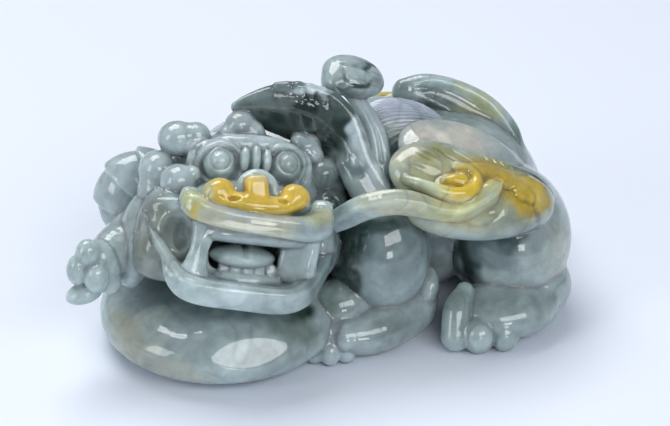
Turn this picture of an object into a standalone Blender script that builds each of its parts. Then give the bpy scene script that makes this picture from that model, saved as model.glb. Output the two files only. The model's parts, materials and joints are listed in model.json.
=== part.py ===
"""Jade figurine: a crouching pixiu on a round disc, with a leaf, a lingzhi and wings.

The carving is one stone.  It is divided here along its carved elements, so each
element is a closed solid of its own, a hair's breadth away from its neighbours.
All sizes below are millimetres; MM turns them into metres.
X runs from the head end to the rump, the open flank faces -Y, Z is up.
"""

import math

import bmesh
import bpy
from mathutils import Euler, Matrix, Vector

MM = 0.001
GAP = 0.3                                   # clearance between neighbouring solids
CORE_FACES = 0.6                            # share of faces kept on the two covered cores
FRAME_SHIFT = (1.43, 2.67, 0.0)              # brings the bottom centre to the origin

# Base disc: a thick polished coin, turned about a vertical axis.
DISC_CENTRE = (-21.5, -10.0, 0.0)
DISC_RADIUS = 23.0
DISC_HEIGHT = 12.4
DISC_FOOT_RADIUS = 17.0

# Head frame: the head looks to -Y, thrown back and rolled to its own left.
HEAD_CENTRE = (-17.0, -9.0, 27.0)
HEAD_TILT_BACK = -28.0
HEAD_ROLL = 11.0
EYE_RADIUS = 3.7
EYE_LEFT = (7.7, -6.8, 7.6)
EYE_RIGHT = (-6.2, -6.8, 7.2)

# Stone colours: base colour, roughness.
PALE = ((0.50, 0.60, 0.56), 0.12)
GREY_GREEN = ((0.30, 0.40, 0.38), 0.12)
DARK_GREEN = ((0.05, 0.12, 0.09), 0.12)
YELLOW = ((0.80, 0.56, 0.10), 0.12)
OLIVE = ((0.52, 0.48, 0.20), 0.12)
LAVENDER = ((0.46, 0.48, 0.58), 0.12)

LUMPS = {}                                  # the simple shapes each element is made of


# ---------------------------------------------------------------- tools

def clear_scene():
    for obj in list(bpy.data.objects):
        bpy.data.objects.remove(obj, do_unlink=True)
    for mesh in list(bpy.data.meshes):
        bpy.data.meshes.remove(mesh)


def world_frame():
    return Matrix.Translation(Vector(FRAME_SHIFT) * MM)


def head_frame():
    place = Matrix.Translation(Vector(HEAD_CENTRE) * MM)
    tilt = Matrix.Rotation(math.radians(HEAD_TILT_BACK), 4, 'X')
    roll = Matrix.Rotation(math.radians(HEAD_ROLL), 4, 'Y')
    return world_frame() @ place @ tilt @ roll


def stone(name, tone):
    colour, roughness = tone
    material = bpy.data.materials.new(name + "_jade")
    material.use_nodes = True
    shader = material.node_tree.nodes["Principled BSDF"]
    shader.inputs["Base Color"].default_value = (*colour, 1.0)
    shader.inputs["Roughness"].default_value = roughness
    shader.inputs["Metallic"].default_value = 0.0
    material.diffuse_color = (*colour, 1.0)
    return material


def add_object(name, mesh, tone):
    obj = bpy.data.objects.new(name, mesh)
    bpy.context.scene.collection.objects.link(obj)
    mesh.materials.clear()
    mesh.materials.append(stone(name, tone))
    mesh.shade_smooth()
    return obj


def ellipsoid_mesh(name, centre, radii, turn=(0, 0, 0), segments=12, rings=7):
    """A ball stretched to its three radii, turned, then moved to its centre."""
    mesh = bpy.data.meshes.new(name)
    bm = bmesh.new()
    bmesh.ops.create_uvsphere(bm, u_segments=segments, v_segments=rings, radius=1.0)
    size = Matrix.Diagonal((*[r * MM for r in radii], 1.0))
    spin = Euler([math.radians(a) for a in turn]).to_matrix().to_4x4()
    bmesh.ops.transform(bm, matrix=Matrix.Translation(Vector(centre) * MM) @ spin @ size,
                        verts=bm.verts)
    bm.to_mesh(mesh)
    bm.free()
    return mesh


def box_mesh(name, centre, size, bevel):
    """A block with rounded edges."""
    mesh = bpy.data.meshes.new(name)
    bm = bmesh.new()
    bmesh.ops.create_cube(bm, size=1.0)
    bmesh.ops.scale(bm, vec=[s * MM for s in size], verts=bm.verts)
    bmesh.ops.bevel(bm, geom=bm.edges[:], offset=bevel * MM, segments=1, affect='EDGES')
    bmesh.ops.translate(bm, vec=Vector(centre) * MM, verts=bm.verts)
    bm.to_mesh(mesh)
    bm.free()
    return mesh


def turned_mesh(name, profile, segments):
    """A solid of revolution about Z; the profile runs from the axis to the axis."""
    mesh = bpy.data.meshes.new(name)
    bm = bmesh.new()
    verts = [bm.verts.new((radius * MM, 0.0, height * MM)) for radius, height in profile]
    edges = [bm.edges.new(pair) for pair in zip(verts, verts[1:])]
    bmesh.ops.spin(bm, geom=verts + edges, axis=(0, 0, 1), cent=(0, 0, 0),
                   angle=math.tau, steps=segments, use_duplicate=False)
    bmesh.ops.remove_doubles(bm, verts=bm.verts, dist=1e-6)
    bmesh.ops.recalc_face_normals(bm, faces=bm.faces)
    bm.to_mesh(mesh)
    bm.free()
    return mesh


def sweep_mesh(name, path, section=(1.0, 1.0), around=8, along=2):
    """A curve with filled caps: path points are (x, y, z, radius), the section is an
    ellipse of section[0] by section[1] times that radius."""
    ring = bpy.data.curves.new(name + "_section", 'CURVE')
    loop = ring.splines.new('POLY')
    loop.points.add(around - 1)
    loop.use_cyclic_u = True
    for i, point in enumerate(loop.points):
        angle = math.tau * i / around
        point.co = (section[0] * MM * math.cos(angle), section[1] * MM * math.sin(angle), 0, 1)
    ring_obj = bpy.data.objects.new(name + "_section", ring)
    bpy.context.scene.collection.objects.link(ring_obj)

    curve = bpy.data.curves.new(name + "_path", 'CURVE')
    curve.dimensions = '3D'
    curve.twist_mode = 'Z_UP'
    curve.bevel_mode = 'OBJECT'
    curve.bevel_object = ring_obj
    curve.use_fill_caps = True
    spline = curve.splines.new('NURBS')
    spline.points.add(len(path) - 1)
    for point, (x, y, z, radius) in zip(spline.points, path):
        point.co = (x * MM, y * MM, z * MM, 1.0)
        point.radius = radius
    spline.use_endpoint_u = True
    spline.order_u = min(4, len(path))
    spline.resolution_u = along
    curve_obj = bpy.data.objects.new(name + "_path", curve)
    bpy.context.scene.collection.objects.link(curve_obj)

    bpy.context.view_layer.update()
    graph = bpy.context.evaluated_depsgraph_get()
    mesh = bpy.data.meshes.new_from_object(curve_obj.evaluated_get(graph))
    mesh.name = name
    bpy.data.objects.remove(curve_obj, do_unlink=True)
    bpy.data.objects.remove(ring_obj, do_unlink=True)
    bm = bmesh.new()
    bm.from_mesh(mesh)
    bmesh.ops.remove_doubles(bm, verts=bm.verts, dist=1e-6)
    bmesh.ops.recalc_face_normals(bm, faces=bm.faces)
    bm.to_mesh(mesh)
    bm.free()
    return mesh


def apply_boolean(obj, cutter, operation):
    """Run one exact Boolean and keep its result as the object's own mesh."""
    modifier = obj.modifiers.new("cut", 'BOOLEAN')
    modifier.solver = 'EXACT'
    modifier.operation = operation
    modifier.object = cutter
    graph = bpy.context.evaluated_depsgraph_get()
    result = bpy.data.meshes.new_from_object(obj.evaluated_get(graph))
    obj.modifiers.clear()
    old = obj.data
    result.name = old.name
    obj.data = result
    bpy.data.meshes.remove(old)


def scratch_object(mesh, frame):
    obj = bpy.data.objects.new(mesh.name + "_cutter", mesh)
    obj.hide_render = True
    obj.display_type = 'WIRE'
    obj.matrix_world = frame
    bpy.context.scene.collection.objects.link(obj)
    return obj


def solid(name, tone, frame, *meshes):
    """One named element: the union of its carved lumps, placed in its frame."""
    LUMPS[name] = [mesh.copy() for mesh in meshes]
    obj = add_object(name, meshes[0], tone)
    obj.matrix_world = frame
    bpy.context.view_layer.update()
    for mesh in meshes[1:]:
        lump = scratch_object(mesh, frame)
        bpy.context.view_layer.update()
        apply_boolean(obj, lump, 'UNION')
        bpy.data.objects.remove(lump, do_unlink=True)
    return obj


def carve(obj, frame, *meshes):
    """Cut grooves and scoops into one element."""
    for mesh in meshes:
        cutter = scratch_object(mesh, frame)
        bpy.context.view_layer.update()
        apply_boolean(obj, cutter, 'DIFFERENCE')
        bpy.data.objects.remove(cutter, do_unlink=True)


def keep_largest_body(obj):
    """Drop loose chips left by a cut."""
    bm = bmesh.new()
    bm.from_mesh(obj.data)
    bm.verts.ensure_lookup_table()
    seen = set()
    bodies = []
    for start in bm.verts:
        if start in seen:
            continue
        body = []
        stack = [start]
        seen.add(start)
        while stack:
            vert = stack.pop()
            body.append(vert)
            for edge in vert.link_edges:
                other = edge.other_vert(vert)
                if other not in seen:
                    seen.add(other)
                    stack.append(other)
        bodies.append(body)
    if len(bodies) > 1:
        bodies.sort(key=reach, reverse=True)
        chips = [vert for body in bodies[1:] for vert in body]
        bmesh.ops.delete(bm, geom=chips, context='VERTS')
    bm.to_mesh(obj.data)
    bm.free()


def reach(body):
    """Diagonal of the box round a set of vertices."""
    low = Vector([min(v.co[k] for v in body) for k in range(3)])
    high = Vector([max(v.co[k] for v in body) for k in range(3)])
    return (high - low).length


def world_box(obj):
    corners = [obj.matrix_world @ v.co for v in obj.data.vertices]
    low = [min(c[k] for c in corners) for k in range(3)]
    high = [max(c[k] for c in corners) for k in range(3)]
    return low, high


def boxes_meet(one, two, margin):
    return all(one[0][k] - margin < two[1][k] and two[0][k] - margin < one[1][k]
               for k in range(3))


def grown_copy(mesh, amount):
    """The same surface moved out along its normals."""
    copy = mesh.copy()
    bm = bmesh.new()
    bm.from_mesh(copy)
    bm.normal_update()
    for vert, normal in [(v, v.normal.copy()) for v in bm.verts]:
        vert.co += normal * amount * MM * vert.calc_shell_factor()
    bm.to_mesh(copy)
    bm.free()
    return copy


def clear_neighbours(order):
    """Earlier elements keep their shape; later ones are cut back round them."""
    for place, obj in enumerate(order):
        for keeper in order[:place]:
            for lump in LUMPS[keeper.name]:
                cutter = scratch_object(grown_copy(lump, GAP * 1.15), keeper.matrix_world.copy())
                bpy.context.view_layer.update()
                if boxes_meet(world_box(obj), world_box(cutter), 0.0):
                    apply_boolean(obj, cutter, 'DIFFERENCE')
                bpy.data.objects.remove(cutter, do_unlink=True)
        keep_largest_body(obj)
        tidy_mesh(obj)


def tidy_mesh(obj):
    """Drop slivers and turn every face outward."""
    bm = bmesh.new()
    bm.from_mesh(obj.data)
    bmesh.ops.dissolve_degenerate(bm, edges=bm.edges, dist=1e-6)
    loose = [edge for edge in bm.edges if not edge.link_faces]
    bmesh.ops.delete(bm, geom=loose, context='EDGES')
    bmesh.ops.recalc_face_normals(bm, faces=bm.faces)
    bm.to_mesh(obj.data)
    bm.free()
    obj.data.shade_smooth()


def lighten(obj, share):
    """Thin out the faces of a core that others cover."""
    modifier = obj.modifiers.new("lighten", 'DECIMATE')
    modifier.decimate_type = 'COLLAPSE'
    modifier.ratio = share
    graph = bpy.context.evaluated_depsgraph_get()
    result = bpy.data.meshes.new_from_object(obj.evaluated_get(graph))
    obj.modifiers.clear()
    obj.data = result
    drop_flaps(obj)
    obj.data.shade_smooth()


def drop_flaps(obj):
    """Remove single faces left hanging by one edge."""
    bm = bmesh.new()
    bm.from_mesh(obj.data)
    flaps = [face for face in bm.faces
             if sum(len(edge.link_faces) == 1 for edge in face.edges) >= 2]
    bmesh.ops.delete(bm, geom=flaps, context='FACES')
    bm.to_mesh(obj.data)
    bm.free()


# ---------------------------------------------------------------- base

def build_base():
    profile = [(0.0, 0.0), (DISC_FOOT_RADIUS, 0.0), (20.8, 1.4), (DISC_RADIUS, 5.5),
               (22.3, 9.0), (19.2, 11.6), (14.0, DISC_HEIGHT), (0.0, 12.2)]
    frame = world_frame() @ Matrix.Translation(Vector(DISC_CENTRE) * MM)
    return [solid("base_disc", PALE, frame, turned_mesh("base_disc", profile, 32))]


# ---------------------------------------------------------------- head

def build_eyes(head):
    """Bulging eyes, each a ball inside a raised ring."""
    profile = [(0.0, 2.6), (1.4, 2.1), (2.1, 1.0), (2.6, 1.3), (3.2, 1.1),
               (EYE_RADIUS, -0.4), (EYE_RADIUS - 0.4, -2.6), (0.0, -3.0)]
    eyes = []
    for name, centre, outward in (("eye_left", EYE_LEFT, 12), ("eye_right", EYE_RIGHT, -12)):
        look = Euler((math.radians(72), 0, math.radians(outward))).to_matrix().to_4x4()
        frame = head @ Matrix.Translation(Vector(centre) * MM) @ look
        eyes.append(solid(name, PALE, frame, turned_mesh(name, profile, 12)))
    return eyes


def build_face(head):
    nose = solid("nose", YELLOW, head,
                 ellipsoid_mesh("nose", (-7.9, -14.6, 1.2), (3.7, 2.8, 2.8)),
                 ellipsoid_mesh("nose_wing", (7.9, -14.6, 1.6), (3.6, 2.8, 2.6)),
                 ellipsoid_mesh("nose_bar", (0.0, -15.2, 1.2), (7.2, 2.8, 2.6)),
                 ellipsoid_mesh("nose_tip", (0.0, -14.4, 3.6), (2.6, 2.4, 2.6)))
    folds = solid("brow_folds", PALE, head,
                  ellipsoid_mesh("fold_middle", (0.7, -8.6, 8.2), (1.5, 1.9, 3.4), segments=10),
                  ellipsoid_mesh("fold_right", (-1.7, -8.3, 7.8), (1.5, 1.7, 3.1), segments=10),
                  ellipsoid_mesh("fold_left", (3.1, -8.1, 8.1), (1.5, 1.7, 3.0), segments=10))
    lip = solid("upper_lip", PALE, head,
                sweep_mesh("upper_lip", [(-15.0, -8.6, -2.2, 0.7), (-14.2, -10.6, -2.2, 1.25),
                                         (-11.6, -13.6, -2.2, 1.25), (-6.0, -15.8, -2.8, 1.0),
                                         (0.0, -16.6, -3.3, 0.95), (6.4, -15.8, -3.6, 1.0),
                                         (11.8, -13.2, -3.8, 1.2), (14.4, -9.8, -4.4, 1.2),
                                         (15.0, -7.6, -4.8, 0.6)], section=(2.0, 2.3)))
    fang_right = solid("fang_right", PALE, head,
                       sweep_mesh("fang_right", [(-8.6, -12.6, -4.4, 2.4), (-8.8, -12.4, -7.4, 1.6),
                                                 (-9.0, -12.0, -10.0, 1.7), (-9.2, -11.8, -13.2, 2.2)],
                                  around=8, along=2))
    fang_left = solid("fang_left", PALE, head,
                      sweep_mesh("fang_left", [(9.4, -11.6, -5.2, 2.6), (9.0, -11.4, -8.4, 1.9),
                                               (9.0, -11.2, -10.6, 2.0), (8.6, -11.2, -13.4, 2.4)],
                                 around=8, along=2))
    tongue = solid("tongue", GREY_GREEN, head,
                   ellipsoid_mesh("tongue", (-1.0, -8.2, -9.6), (5.6, 5.4, 2.4)))
    teeth = solid("lower_teeth", PALE, head,
                  box_mesh("gum", (-0.4, -10.9, -13.6), (10.6, 2.2, 2.0), 0.4),
                  *[box_mesh("tooth", (x, -11.2, -12.2), (1.9, 1.7, 2.6), 0.35)
                    for x in (-3.6, -1.5, 0.6, 2.7)])
    jaw = solid("lower_jaw", PALE, head,
                sweep_mesh("lower_jaw", [(-18.6, -3.0, -4.2, 0.6), (-17.4, -5.6, -8.2, 0.85),
                                         (-14.4, -9.4, -13.2, 1.05), (-10.4, -12.4, -15.6, 1.1),
                                         (-4.6, -13.6, -16.0, 1.15), (2.4, -13.8, -16.2, 1.15),
                                         (9.0, -12.6, -15.6, 1.1), (14.0, -8.8, -13.8, 1.0),
                                         (17.4, -2.8, -10.6, 0.9), (18.4, 0.8, -8.6, 0.5)],
                           section=(2.3, 2.4)))
    muzzle = solid("muzzle", PALE, head,
                   ellipsoid_mesh("muzzle", (0.0, -7.4, -0.2), (13.4, 7.8, 4.6)))
    return [*build_eyes(head), nose, folds, lip, fang_right, fang_left, tongue, teeth, jaw, muzzle]


def build_curls(head):
    """Round locks of hair and the cheeks round the face."""
    knob_top = solid("crown_knob", PALE, head,
                     ellipsoid_mesh("crown_knob", (-0.6, 1.2, 15.6), (3.5, 3.0, 2.8), (0, 12, 0)))
    knob_side = solid("side_knob", PALE, head,
                      ellipsoid_mesh("side_knob", (12.3, -0.6, 11.0), (2.8, 2.7, 2.9)))
    upper = solid("curl_right_upper", PALE, head,
                  ellipsoid_mesh("curl_right_upper", (-12.6, -2.0, 11.2), (4.0, 3.6, 3.3)),
                  ellipsoid_mesh("curl_lobe", (-8.4, -3.6, 11.0), (2.8, 2.8, 2.6)))
    middle = solid("curl_right_middle", PALE, head,
                   ellipsoid_mesh("curl_right_middle", (-16.0, -1.6, 4.4), (3.9, 4.2, 4.6)))
    lower = solid("curl_right_lower", PALE, head,
                  ellipsoid_mesh("curl_right_lower", (-12.2, -7.0, 3.4), (3.5, 3.4, 3.4)))
    left = solid("curl_left_upper", GREY_GREEN, head,
                 ellipsoid_mesh("curl_left_upper", (15.4, 0.4, 5.8), (3.2, 4.4, 4.0)))
    left_low = solid("curl_left_lower", GREY_GREEN, head,
                     ellipsoid_mesh("curl_left_lower", (16.4, 1.2, -0.4), (3.3, 5.0, 4.0)))
    cheek_right = solid("cheek_right", PALE, head,
                        ellipsoid_mesh("cheek_right", (-15.4, -2.6, -7.0), (5.2, 7.6, 9.0), (0, 8, 0)))
    jowl_right = solid("jowl_right", PALE, head,
                       ellipsoid_mesh("jowl_right", (-19.2, 1.6, -7.6), (4.0, 7.0, 9.4), (0, 6, 0)))
    cheek_left = solid("cheek_left", GREY_GREEN, head,
                       ellipsoid_mesh("cheek_left", (14.6, 0.4, -6.4), (4.8, 8.2, 7.6), (0, -8, 0)))
    return [knob_top, knob_side, upper, lower, middle, left, left_low,
            cheek_right, cheek_left, jowl_right]


def build_skull(head):
    """The head's core, hollowed where the mouth opens."""
    skull = solid("skull", PALE, head,
                  ellipsoid_mesh("skull", (0.0, 4.0, 3.4), (16.4, 13.2, 13.4), segments=16, rings=10),
                  ellipsoid_mesh("chin", (0.0, -2.4, -11.6), (15.0, 10.4, 6.4), segments=14, rings=8))
    carve(skull, head,
          ellipsoid_mesh("mouth", (-0.6, -12.0, -8.6), (8.6, 11.0, 4.6), segments=16, rings=10))
    return [skull]


# ---------------------------------------------------------------- plants on the back

def build_plants():
    here = world_frame()
    cap = solid("lingzhi_cap", GREY_GREEN, here,
                ellipsoid_mesh("lingzhi_cap", (6.9, 2.4, 45.4), (6.0, 5.2, 2.9), (14, 6, 0),
                               segments=16, rings=10))
    stem = solid("lingzhi_stem", GREY_GREEN, here,
                 sweep_mesh("lingzhi_stem", [(6.2, 2.0, 44.0, 1.0), (6.6, 1.0, 41.0, 1.0),
                                             (9.0, -0.6, 37.4, 1.1), (10.4, -2.6, 33.6, 1.3),
                                             (10.0, -6.0, 29.0, 1.2), (9.0, -8.0, 25.0, 1.0)],
                            section=(1.9, 1.7), around=8))
    leaf = solid("leaf_crest", DARK_GREEN, here,
                 sweep_mesh("leaf_crest", [(-16.8, -1.8, 43.4, 0.25), (-13.4, -1.6, 43.4, 0.55),
                                           (-8.6, -1.8, 42.8, 0.95), (-3.2, -2.4, 41.2, 1.1),
                                           (1.4, -4.2, 38.8, 1.05), (4.4, -7.0, 35.0, 0.95),
                                           (6.6, -10.0, 31.0, 0.75), (7.8, -12.4, 27.4, 0.5)],
                            section=(2.6, 5.2), around=12))
    return [cap, stem, leaf]


# ---------------------------------------------------------------- wings and tail

def build_wings():
    here = world_frame()
    ribbon = solid("wing_left_ribbon", PALE, here,
                   sweep_mesh("wing_left_ribbon", [(-3.4, -16.4, 23.2, 0.5), (-0.6, -18.6, 25.6, 0.8),
                                                   (4.0, -21.0, 30.6, 0.95), (9.6, -22.4, 32.4, 0.95),
                                                   (15.4, -23.6, 30.8, 0.95), (20.6, -24.0, 28.6, 0.95),
                                                   (25.2, -23.6, 28.8, 0.8), (28.2, -22.4, 30.2, 0.4)],
                              section=(2.0, 2.3)))
    scroll = solid("wing_left_scroll", OLIVE, here,
                   ellipsoid_mesh("wing_left_scroll", (21.6, -20.2, 31.2), (4.4, 3.4, 2.6), (38, 8, 0)))
    tip = solid("wing_left_tip", OLIVE, here,
                ellipsoid_mesh("wing_left_tip", (35.2, -17.4, 24.4), (6.4, 4.4, 4.0), (30, 14, -12)))
    main = solid("wing_left_main", OLIVE, here,
                 ellipsoid_mesh("wing_left_main", (18.4, -15.6, 31.4), (11.0, 7.4, 4.4), (34, 16, -4),
                                segments=14, rings=8))
    lower = solid("wing_left_lower", PALE, here,
                  ellipsoid_mesh("wing_left_lower", (24.6, -20.4, 25.4), (13.4, 5.2, 4.2), (44, 8, -2),
                                 segments=14, rings=8))
    upper = solid("wing_left_upper", PALE, here,
                  ellipsoid_mesh("wing_left_upper", (26.0, -7.6, 29.6), (14.0, 8.4, 4.2), (24, 24, 4),
                                 segments=14, rings=8))
    tail = solid("tail", GREY_GREEN, here,
                 sweep_mesh("tail", [(17.6, 12.6, 33.0, 0.4), (20.4, 12.4, 34.6, 0.8),
                                     (26.4, 11.8, 34.8, 1.15), (32.4, 9.8, 32.0, 1.2),
                                     (37.2, 7.0, 27.6, 1.15), (40.4, 3.8, 22.8, 0.95),
                                     (41.4, 1.6, 18.6, 0.6)], section=(3.0, 4.2), around=12))
    hair = solid("spine_hair", LAVENDER, here,
                 ellipsoid_mesh("spine_hair", (17.2, 2.4, 32.6), (9.0, 8.0, 4.2), (6, 14, 0),
                                segments=16, rings=10))
    far_main = solid("wing_right_main", PALE, here,
                     ellipsoid_mesh("wing_right_main", (17.0, 22.6, 26.0), (12.0, 4.4, 6.4),
                                    (28, 12, -6), segments=16, rings=10))
    far_tip = solid("wing_right_tip", PALE, here,
                    ellipsoid_mesh("wing_right_tip", (31.0, 22.4, 21.8), (8.0, 4.0, 5.0),
                                   (26, 16, 10)))
    return [ribbon, scroll, tip, main, lower, upper, tail, hair, far_main, far_tip]


# ---------------------------------------------------------------- legs and body

def toes(centres, radii):
    return [ellipsoid_mesh("toe", centre, radii, segments=9, rings=6) for centre in centres]


def build_limbs():
    here = world_frame()
    paw_left = solid("paw_left", PALE, here,
                     ellipsoid_mesh("paw_left", (-1.6, -22.6, 4.6), (5.6, 4.4, 3.8), (0, -6, 14)),
                     *toes([(-5.4, -24.6, 2.8), (-2.6, -26.2, 2.6), (0.6, -26.6, 2.7)],
                           (2.2, 2.5, 2.5)))
    forearm_left = solid("forearm_left", PALE, here,
                         sweep_mesh("forearm_left", [(0.6, -22.6, 5.0, 0.9), (4.2, -22.6, 5.2, 1.0),
                                                     (9.0, -20.6, 5.6, 1.05), (13.2, -17.6, 6.2, 1.0),
                                                     (15.8, -14.6, 7.6, 0.7)], section=(5.0, 5.0)))
    tuft = solid("elbow_tuft_left", PALE, here,
                 ellipsoid_mesh("elbow_tuft_left", (16.0, -16.6, 8.0), (2.4, 4.4, 4.6), (24, 24, 0)))
    shoulder_left = solid("shoulder_left", GREY_GREEN, here,
                          ellipsoid_mesh("shoulder_left", (8.4, -13.0, 17.4), (10.2, 10.6, 12.6),
                                         segments=16, rings=10))
    paw_right = solid("paw_right", PALE, here,
                      ellipsoid_mesh("paw_right", (-45.2, -15.2, 21.6), (4.2, 4.0, 5.4)),
                      *toes([(-48.0, -17.6, 24.2), (-48.6, -18.0, 19.4), (-45.6, -19.4, 21.4)],
                            (2.5, 2.4, 2.8)))
    forearm_right = solid("forearm_right", PALE, here,
                          sweep_mesh("forearm_right", [(-44.6, -15.0, 21.8, 0.8), (-41.0, -11.6, 21.8, 1.0),
                                                       (-36.4, -4.6, 20.0, 1.15), (-30.0, 4.0, 18.4, 1.3),
                                                       (-22.0, 10.0, 17.4, 1.2)], section=(4.4, 5.0)))
    shoulder_right = solid("shoulder_right", PALE, here,
                           ellipsoid_mesh("shoulder_right", (-12.6, 15.6, 15.6), (14.0, 10.4, 13.0),
                                          segments=16, rings=10))
    hind_foot_left = solid("hind_foot_left", PALE, here,
                           ellipsoid_mesh("hind_foot_left", (31.0, -23.4, 6.2), (10.6, 7.4, 6.1),
                                          (0, 0, 8), segments=16, rings=10),
                           *toes([(20.4, -25.4, 3.9), (23.8, -28.4, 3.5), (28.4, -29.0, 3.5)],
                                 (3.0, 3.7, 3.4)))
    haunch_left = solid("haunch_left", GREY_GREEN, here,
                        ellipsoid_mesh("haunch_left", (35.6, -9.4, 13.8), (12.6, 15.0, 13.6),
                                       segments=16, rings=10))
    hind_foot_right = solid("hind_foot_right", PALE, here,
                            ellipsoid_mesh("hind_foot_right", (31.0, 22.0, 5.6), (11.0, 5.8, 5.6),
                                           (0, 0, -6)),
                            *toes([(20.6, 21.4, 3.0), (20.0, 24.4, 3.0)], (3.0, 2.4, 2.9)))
    haunch_right = solid("haunch_right", PALE, here,
                         ellipsoid_mesh("haunch_right", (34.6, 13.2, 14.6), (13.4, 13.6, 13.4),
                                        (7, 0, 11), segments=16, rings=10))
    return [paw_left, paw_right, tuft, hind_foot_left, hind_foot_right, forearm_left,
            forearm_right, shoulder_left, haunch_left, haunch_right, shoulder_right]


def build_mane():
    """A fluted fan of hair behind each cheek."""
    here = world_frame()
    fan = solid("mane_right", PALE, here,
                ellipsoid_mesh("mane_right", (-34.2, 1.6, 25.4), (9.6, 6.0, 10.2), (0, -34, -8),
                               segments=16, rings=10))
    carve(fan, here,
          ellipsoid_mesh("flute", (-41.4, -6.0, 33.0), (7.0, 2.8, 2.0), (0, -28, 12), segments=10),
          ellipsoid_mesh("flute", (-43.0, -6.2, 28.0), (7.0, 2.8, 1.8), (0, -14, 14), segments=10),
          ellipsoid_mesh("flute", (-43.2, -6.4, 23.4), (7.0, 2.8, 1.6), (0, 0, 16), segments=10))
    locks = solid("mane_left", GREY_GREEN, here,
                  ellipsoid_mesh("mane_left", (1.2, -8.0, 22.0), (4.0, 5.0, 5.4)),
                  ellipsoid_mesh("lock_upper", (1.4, -4.4, 27.6), (3.6, 5.0, 4.4)))
    return [fan, locks]


def build_torso():
    """Chest, belly and rump in one core under all the carved work."""
    here = world_frame()
    return [solid("torso", GREY_GREEN, here,
                  ellipsoid_mesh("torso", (-4.0, 8.4, 17.6), (23.0, 18.6, 17.4),
                                 segments=18, rings=11),
                  ellipsoid_mesh("belly", (18.0, 4.6, 17.4), (22.0, 17.6, 16.2),
                                 segments=18, rings=11),
                  ellipsoid_mesh("rump", (30.4, 3.6, 17.4), (16.2, 18.4, 15.0),
                                 segments=16, rings=10))]


# ---------------------------------------------------------------- assembly

def build():
    clear_scene()
    head = head_frame()
    # From the smallest carved element to the core: each one is cut back by those before it.
    order = (build_face(head) + build_curls(head) + build_plants() + build_wings()
             + build_limbs() + build_base() + build_mane() + build_skull(head) + build_torso())
    clear_neighbours(order)
    for core in order[-2:]:
        lighten(core, CORE_FACES)


build()
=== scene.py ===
"""Looks of the jade figurine: a carved pixiu in polished jadeite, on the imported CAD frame.

Each carved element is sculpted as a smooth distance field in millimetres, and all the
fields are melted into one skin, so neighbouring elements meet in soft carved creases.
The skin is then taken off element by element: one visual piece for each CAD node.
"""

import itertools
import json
import math
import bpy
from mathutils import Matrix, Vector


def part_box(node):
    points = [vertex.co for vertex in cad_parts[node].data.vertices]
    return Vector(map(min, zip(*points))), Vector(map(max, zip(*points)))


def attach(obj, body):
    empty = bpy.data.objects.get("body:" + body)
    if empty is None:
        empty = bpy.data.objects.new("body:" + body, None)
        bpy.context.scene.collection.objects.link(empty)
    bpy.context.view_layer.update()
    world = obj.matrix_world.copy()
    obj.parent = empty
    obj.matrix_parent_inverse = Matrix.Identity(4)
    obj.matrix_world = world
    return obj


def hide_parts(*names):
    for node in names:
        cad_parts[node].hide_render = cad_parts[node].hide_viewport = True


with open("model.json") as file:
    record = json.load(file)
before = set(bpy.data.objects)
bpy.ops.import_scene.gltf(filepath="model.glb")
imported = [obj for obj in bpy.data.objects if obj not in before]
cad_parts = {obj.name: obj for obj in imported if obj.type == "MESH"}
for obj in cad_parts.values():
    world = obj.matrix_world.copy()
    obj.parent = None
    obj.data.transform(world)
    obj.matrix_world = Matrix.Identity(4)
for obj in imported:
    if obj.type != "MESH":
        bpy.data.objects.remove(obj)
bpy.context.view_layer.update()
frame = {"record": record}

from concurrent.futures import ThreadPoolExecutor

import bpy
import numpy as np
from mathutils import Euler, Matrix, Vector

MM = 0.001
MELT = 0.28              # how softly neighbouring elements run together, mm
ROUGH_STEP = 1.0

# The carving is described about the disc, whose place comes from the CAD frame.
DISC_CENTRE = np.array([-21.5, -10.0, 0.0])
DISC_RADIUS = 23.0
DISC_HEIGHT = 12.4
disc_low, disc_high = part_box("base_disc")
ORIGIN = np.array([(disc_low[0] + disc_high[0]) / 2 / MM - DISC_CENTRE[0],
                   (disc_low[1] + disc_high[1]) / 2 / MM - DISC_CENTRE[1],
                   disc_low[2] / MM])

# The head looks to -Y, thrown back and rolled to its own left.
HEAD_CENTRE = np.array([-17.0, -9.0, 27.0])
HEAD_AXES = np.array((Matrix.Rotation(math.radians(-28), 3, 'X')
                      @ Matrix.Rotation(math.radians(11), 3, 'Y')))
EYE_LEFT = np.array([6.1, -6.9, 7.2])
EYE_RIGHT = np.array([-5.8, -7.0, 6.8])


# ---------------- distance fields

class Shape:
    """A signed distance in millimetres, negative inside, and the box it lies in."""

    def __init__(self, field, low, high):
        self.field = field
        self.low = np.asarray(low, float)
        self.high = np.asarray(high, float)

    def __call__(self, points):
        return self.field(points)


def turning(turn):
    return np.array(Euler([math.radians(a) for a in turn]).to_matrix())


def egg_distance(q, radii, power=2):
    """About how far q lies outside an egg of these radii; a higher power squares it off."""
    share = np.abs(q) / radii
    size = (share ** power).sum(1) ** (1 / power) + 1e-9
    slope = np.sqrt(((share ** (power - 1) / radii) ** 2).sum(1)) / size ** (power - 1)
    return (size - 1.0) / (slope + 1e-9)


def ball(centre, radii, turn=(0, 0, 0), power=2):
    """An ellipsoid, squared off by a higher power."""
    centre = np.asarray(centre, float)
    radii = np.full(3, radii, float) if np.isscalar(radii) else np.asarray(radii, float)
    axes = turning(turn)

    def field(points):
        return egg_distance((points - centre) @ axes, radii, power)

    reach = np.abs(axes) @ radii
    return Shape(field, centre - reach, centre + reach)


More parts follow.
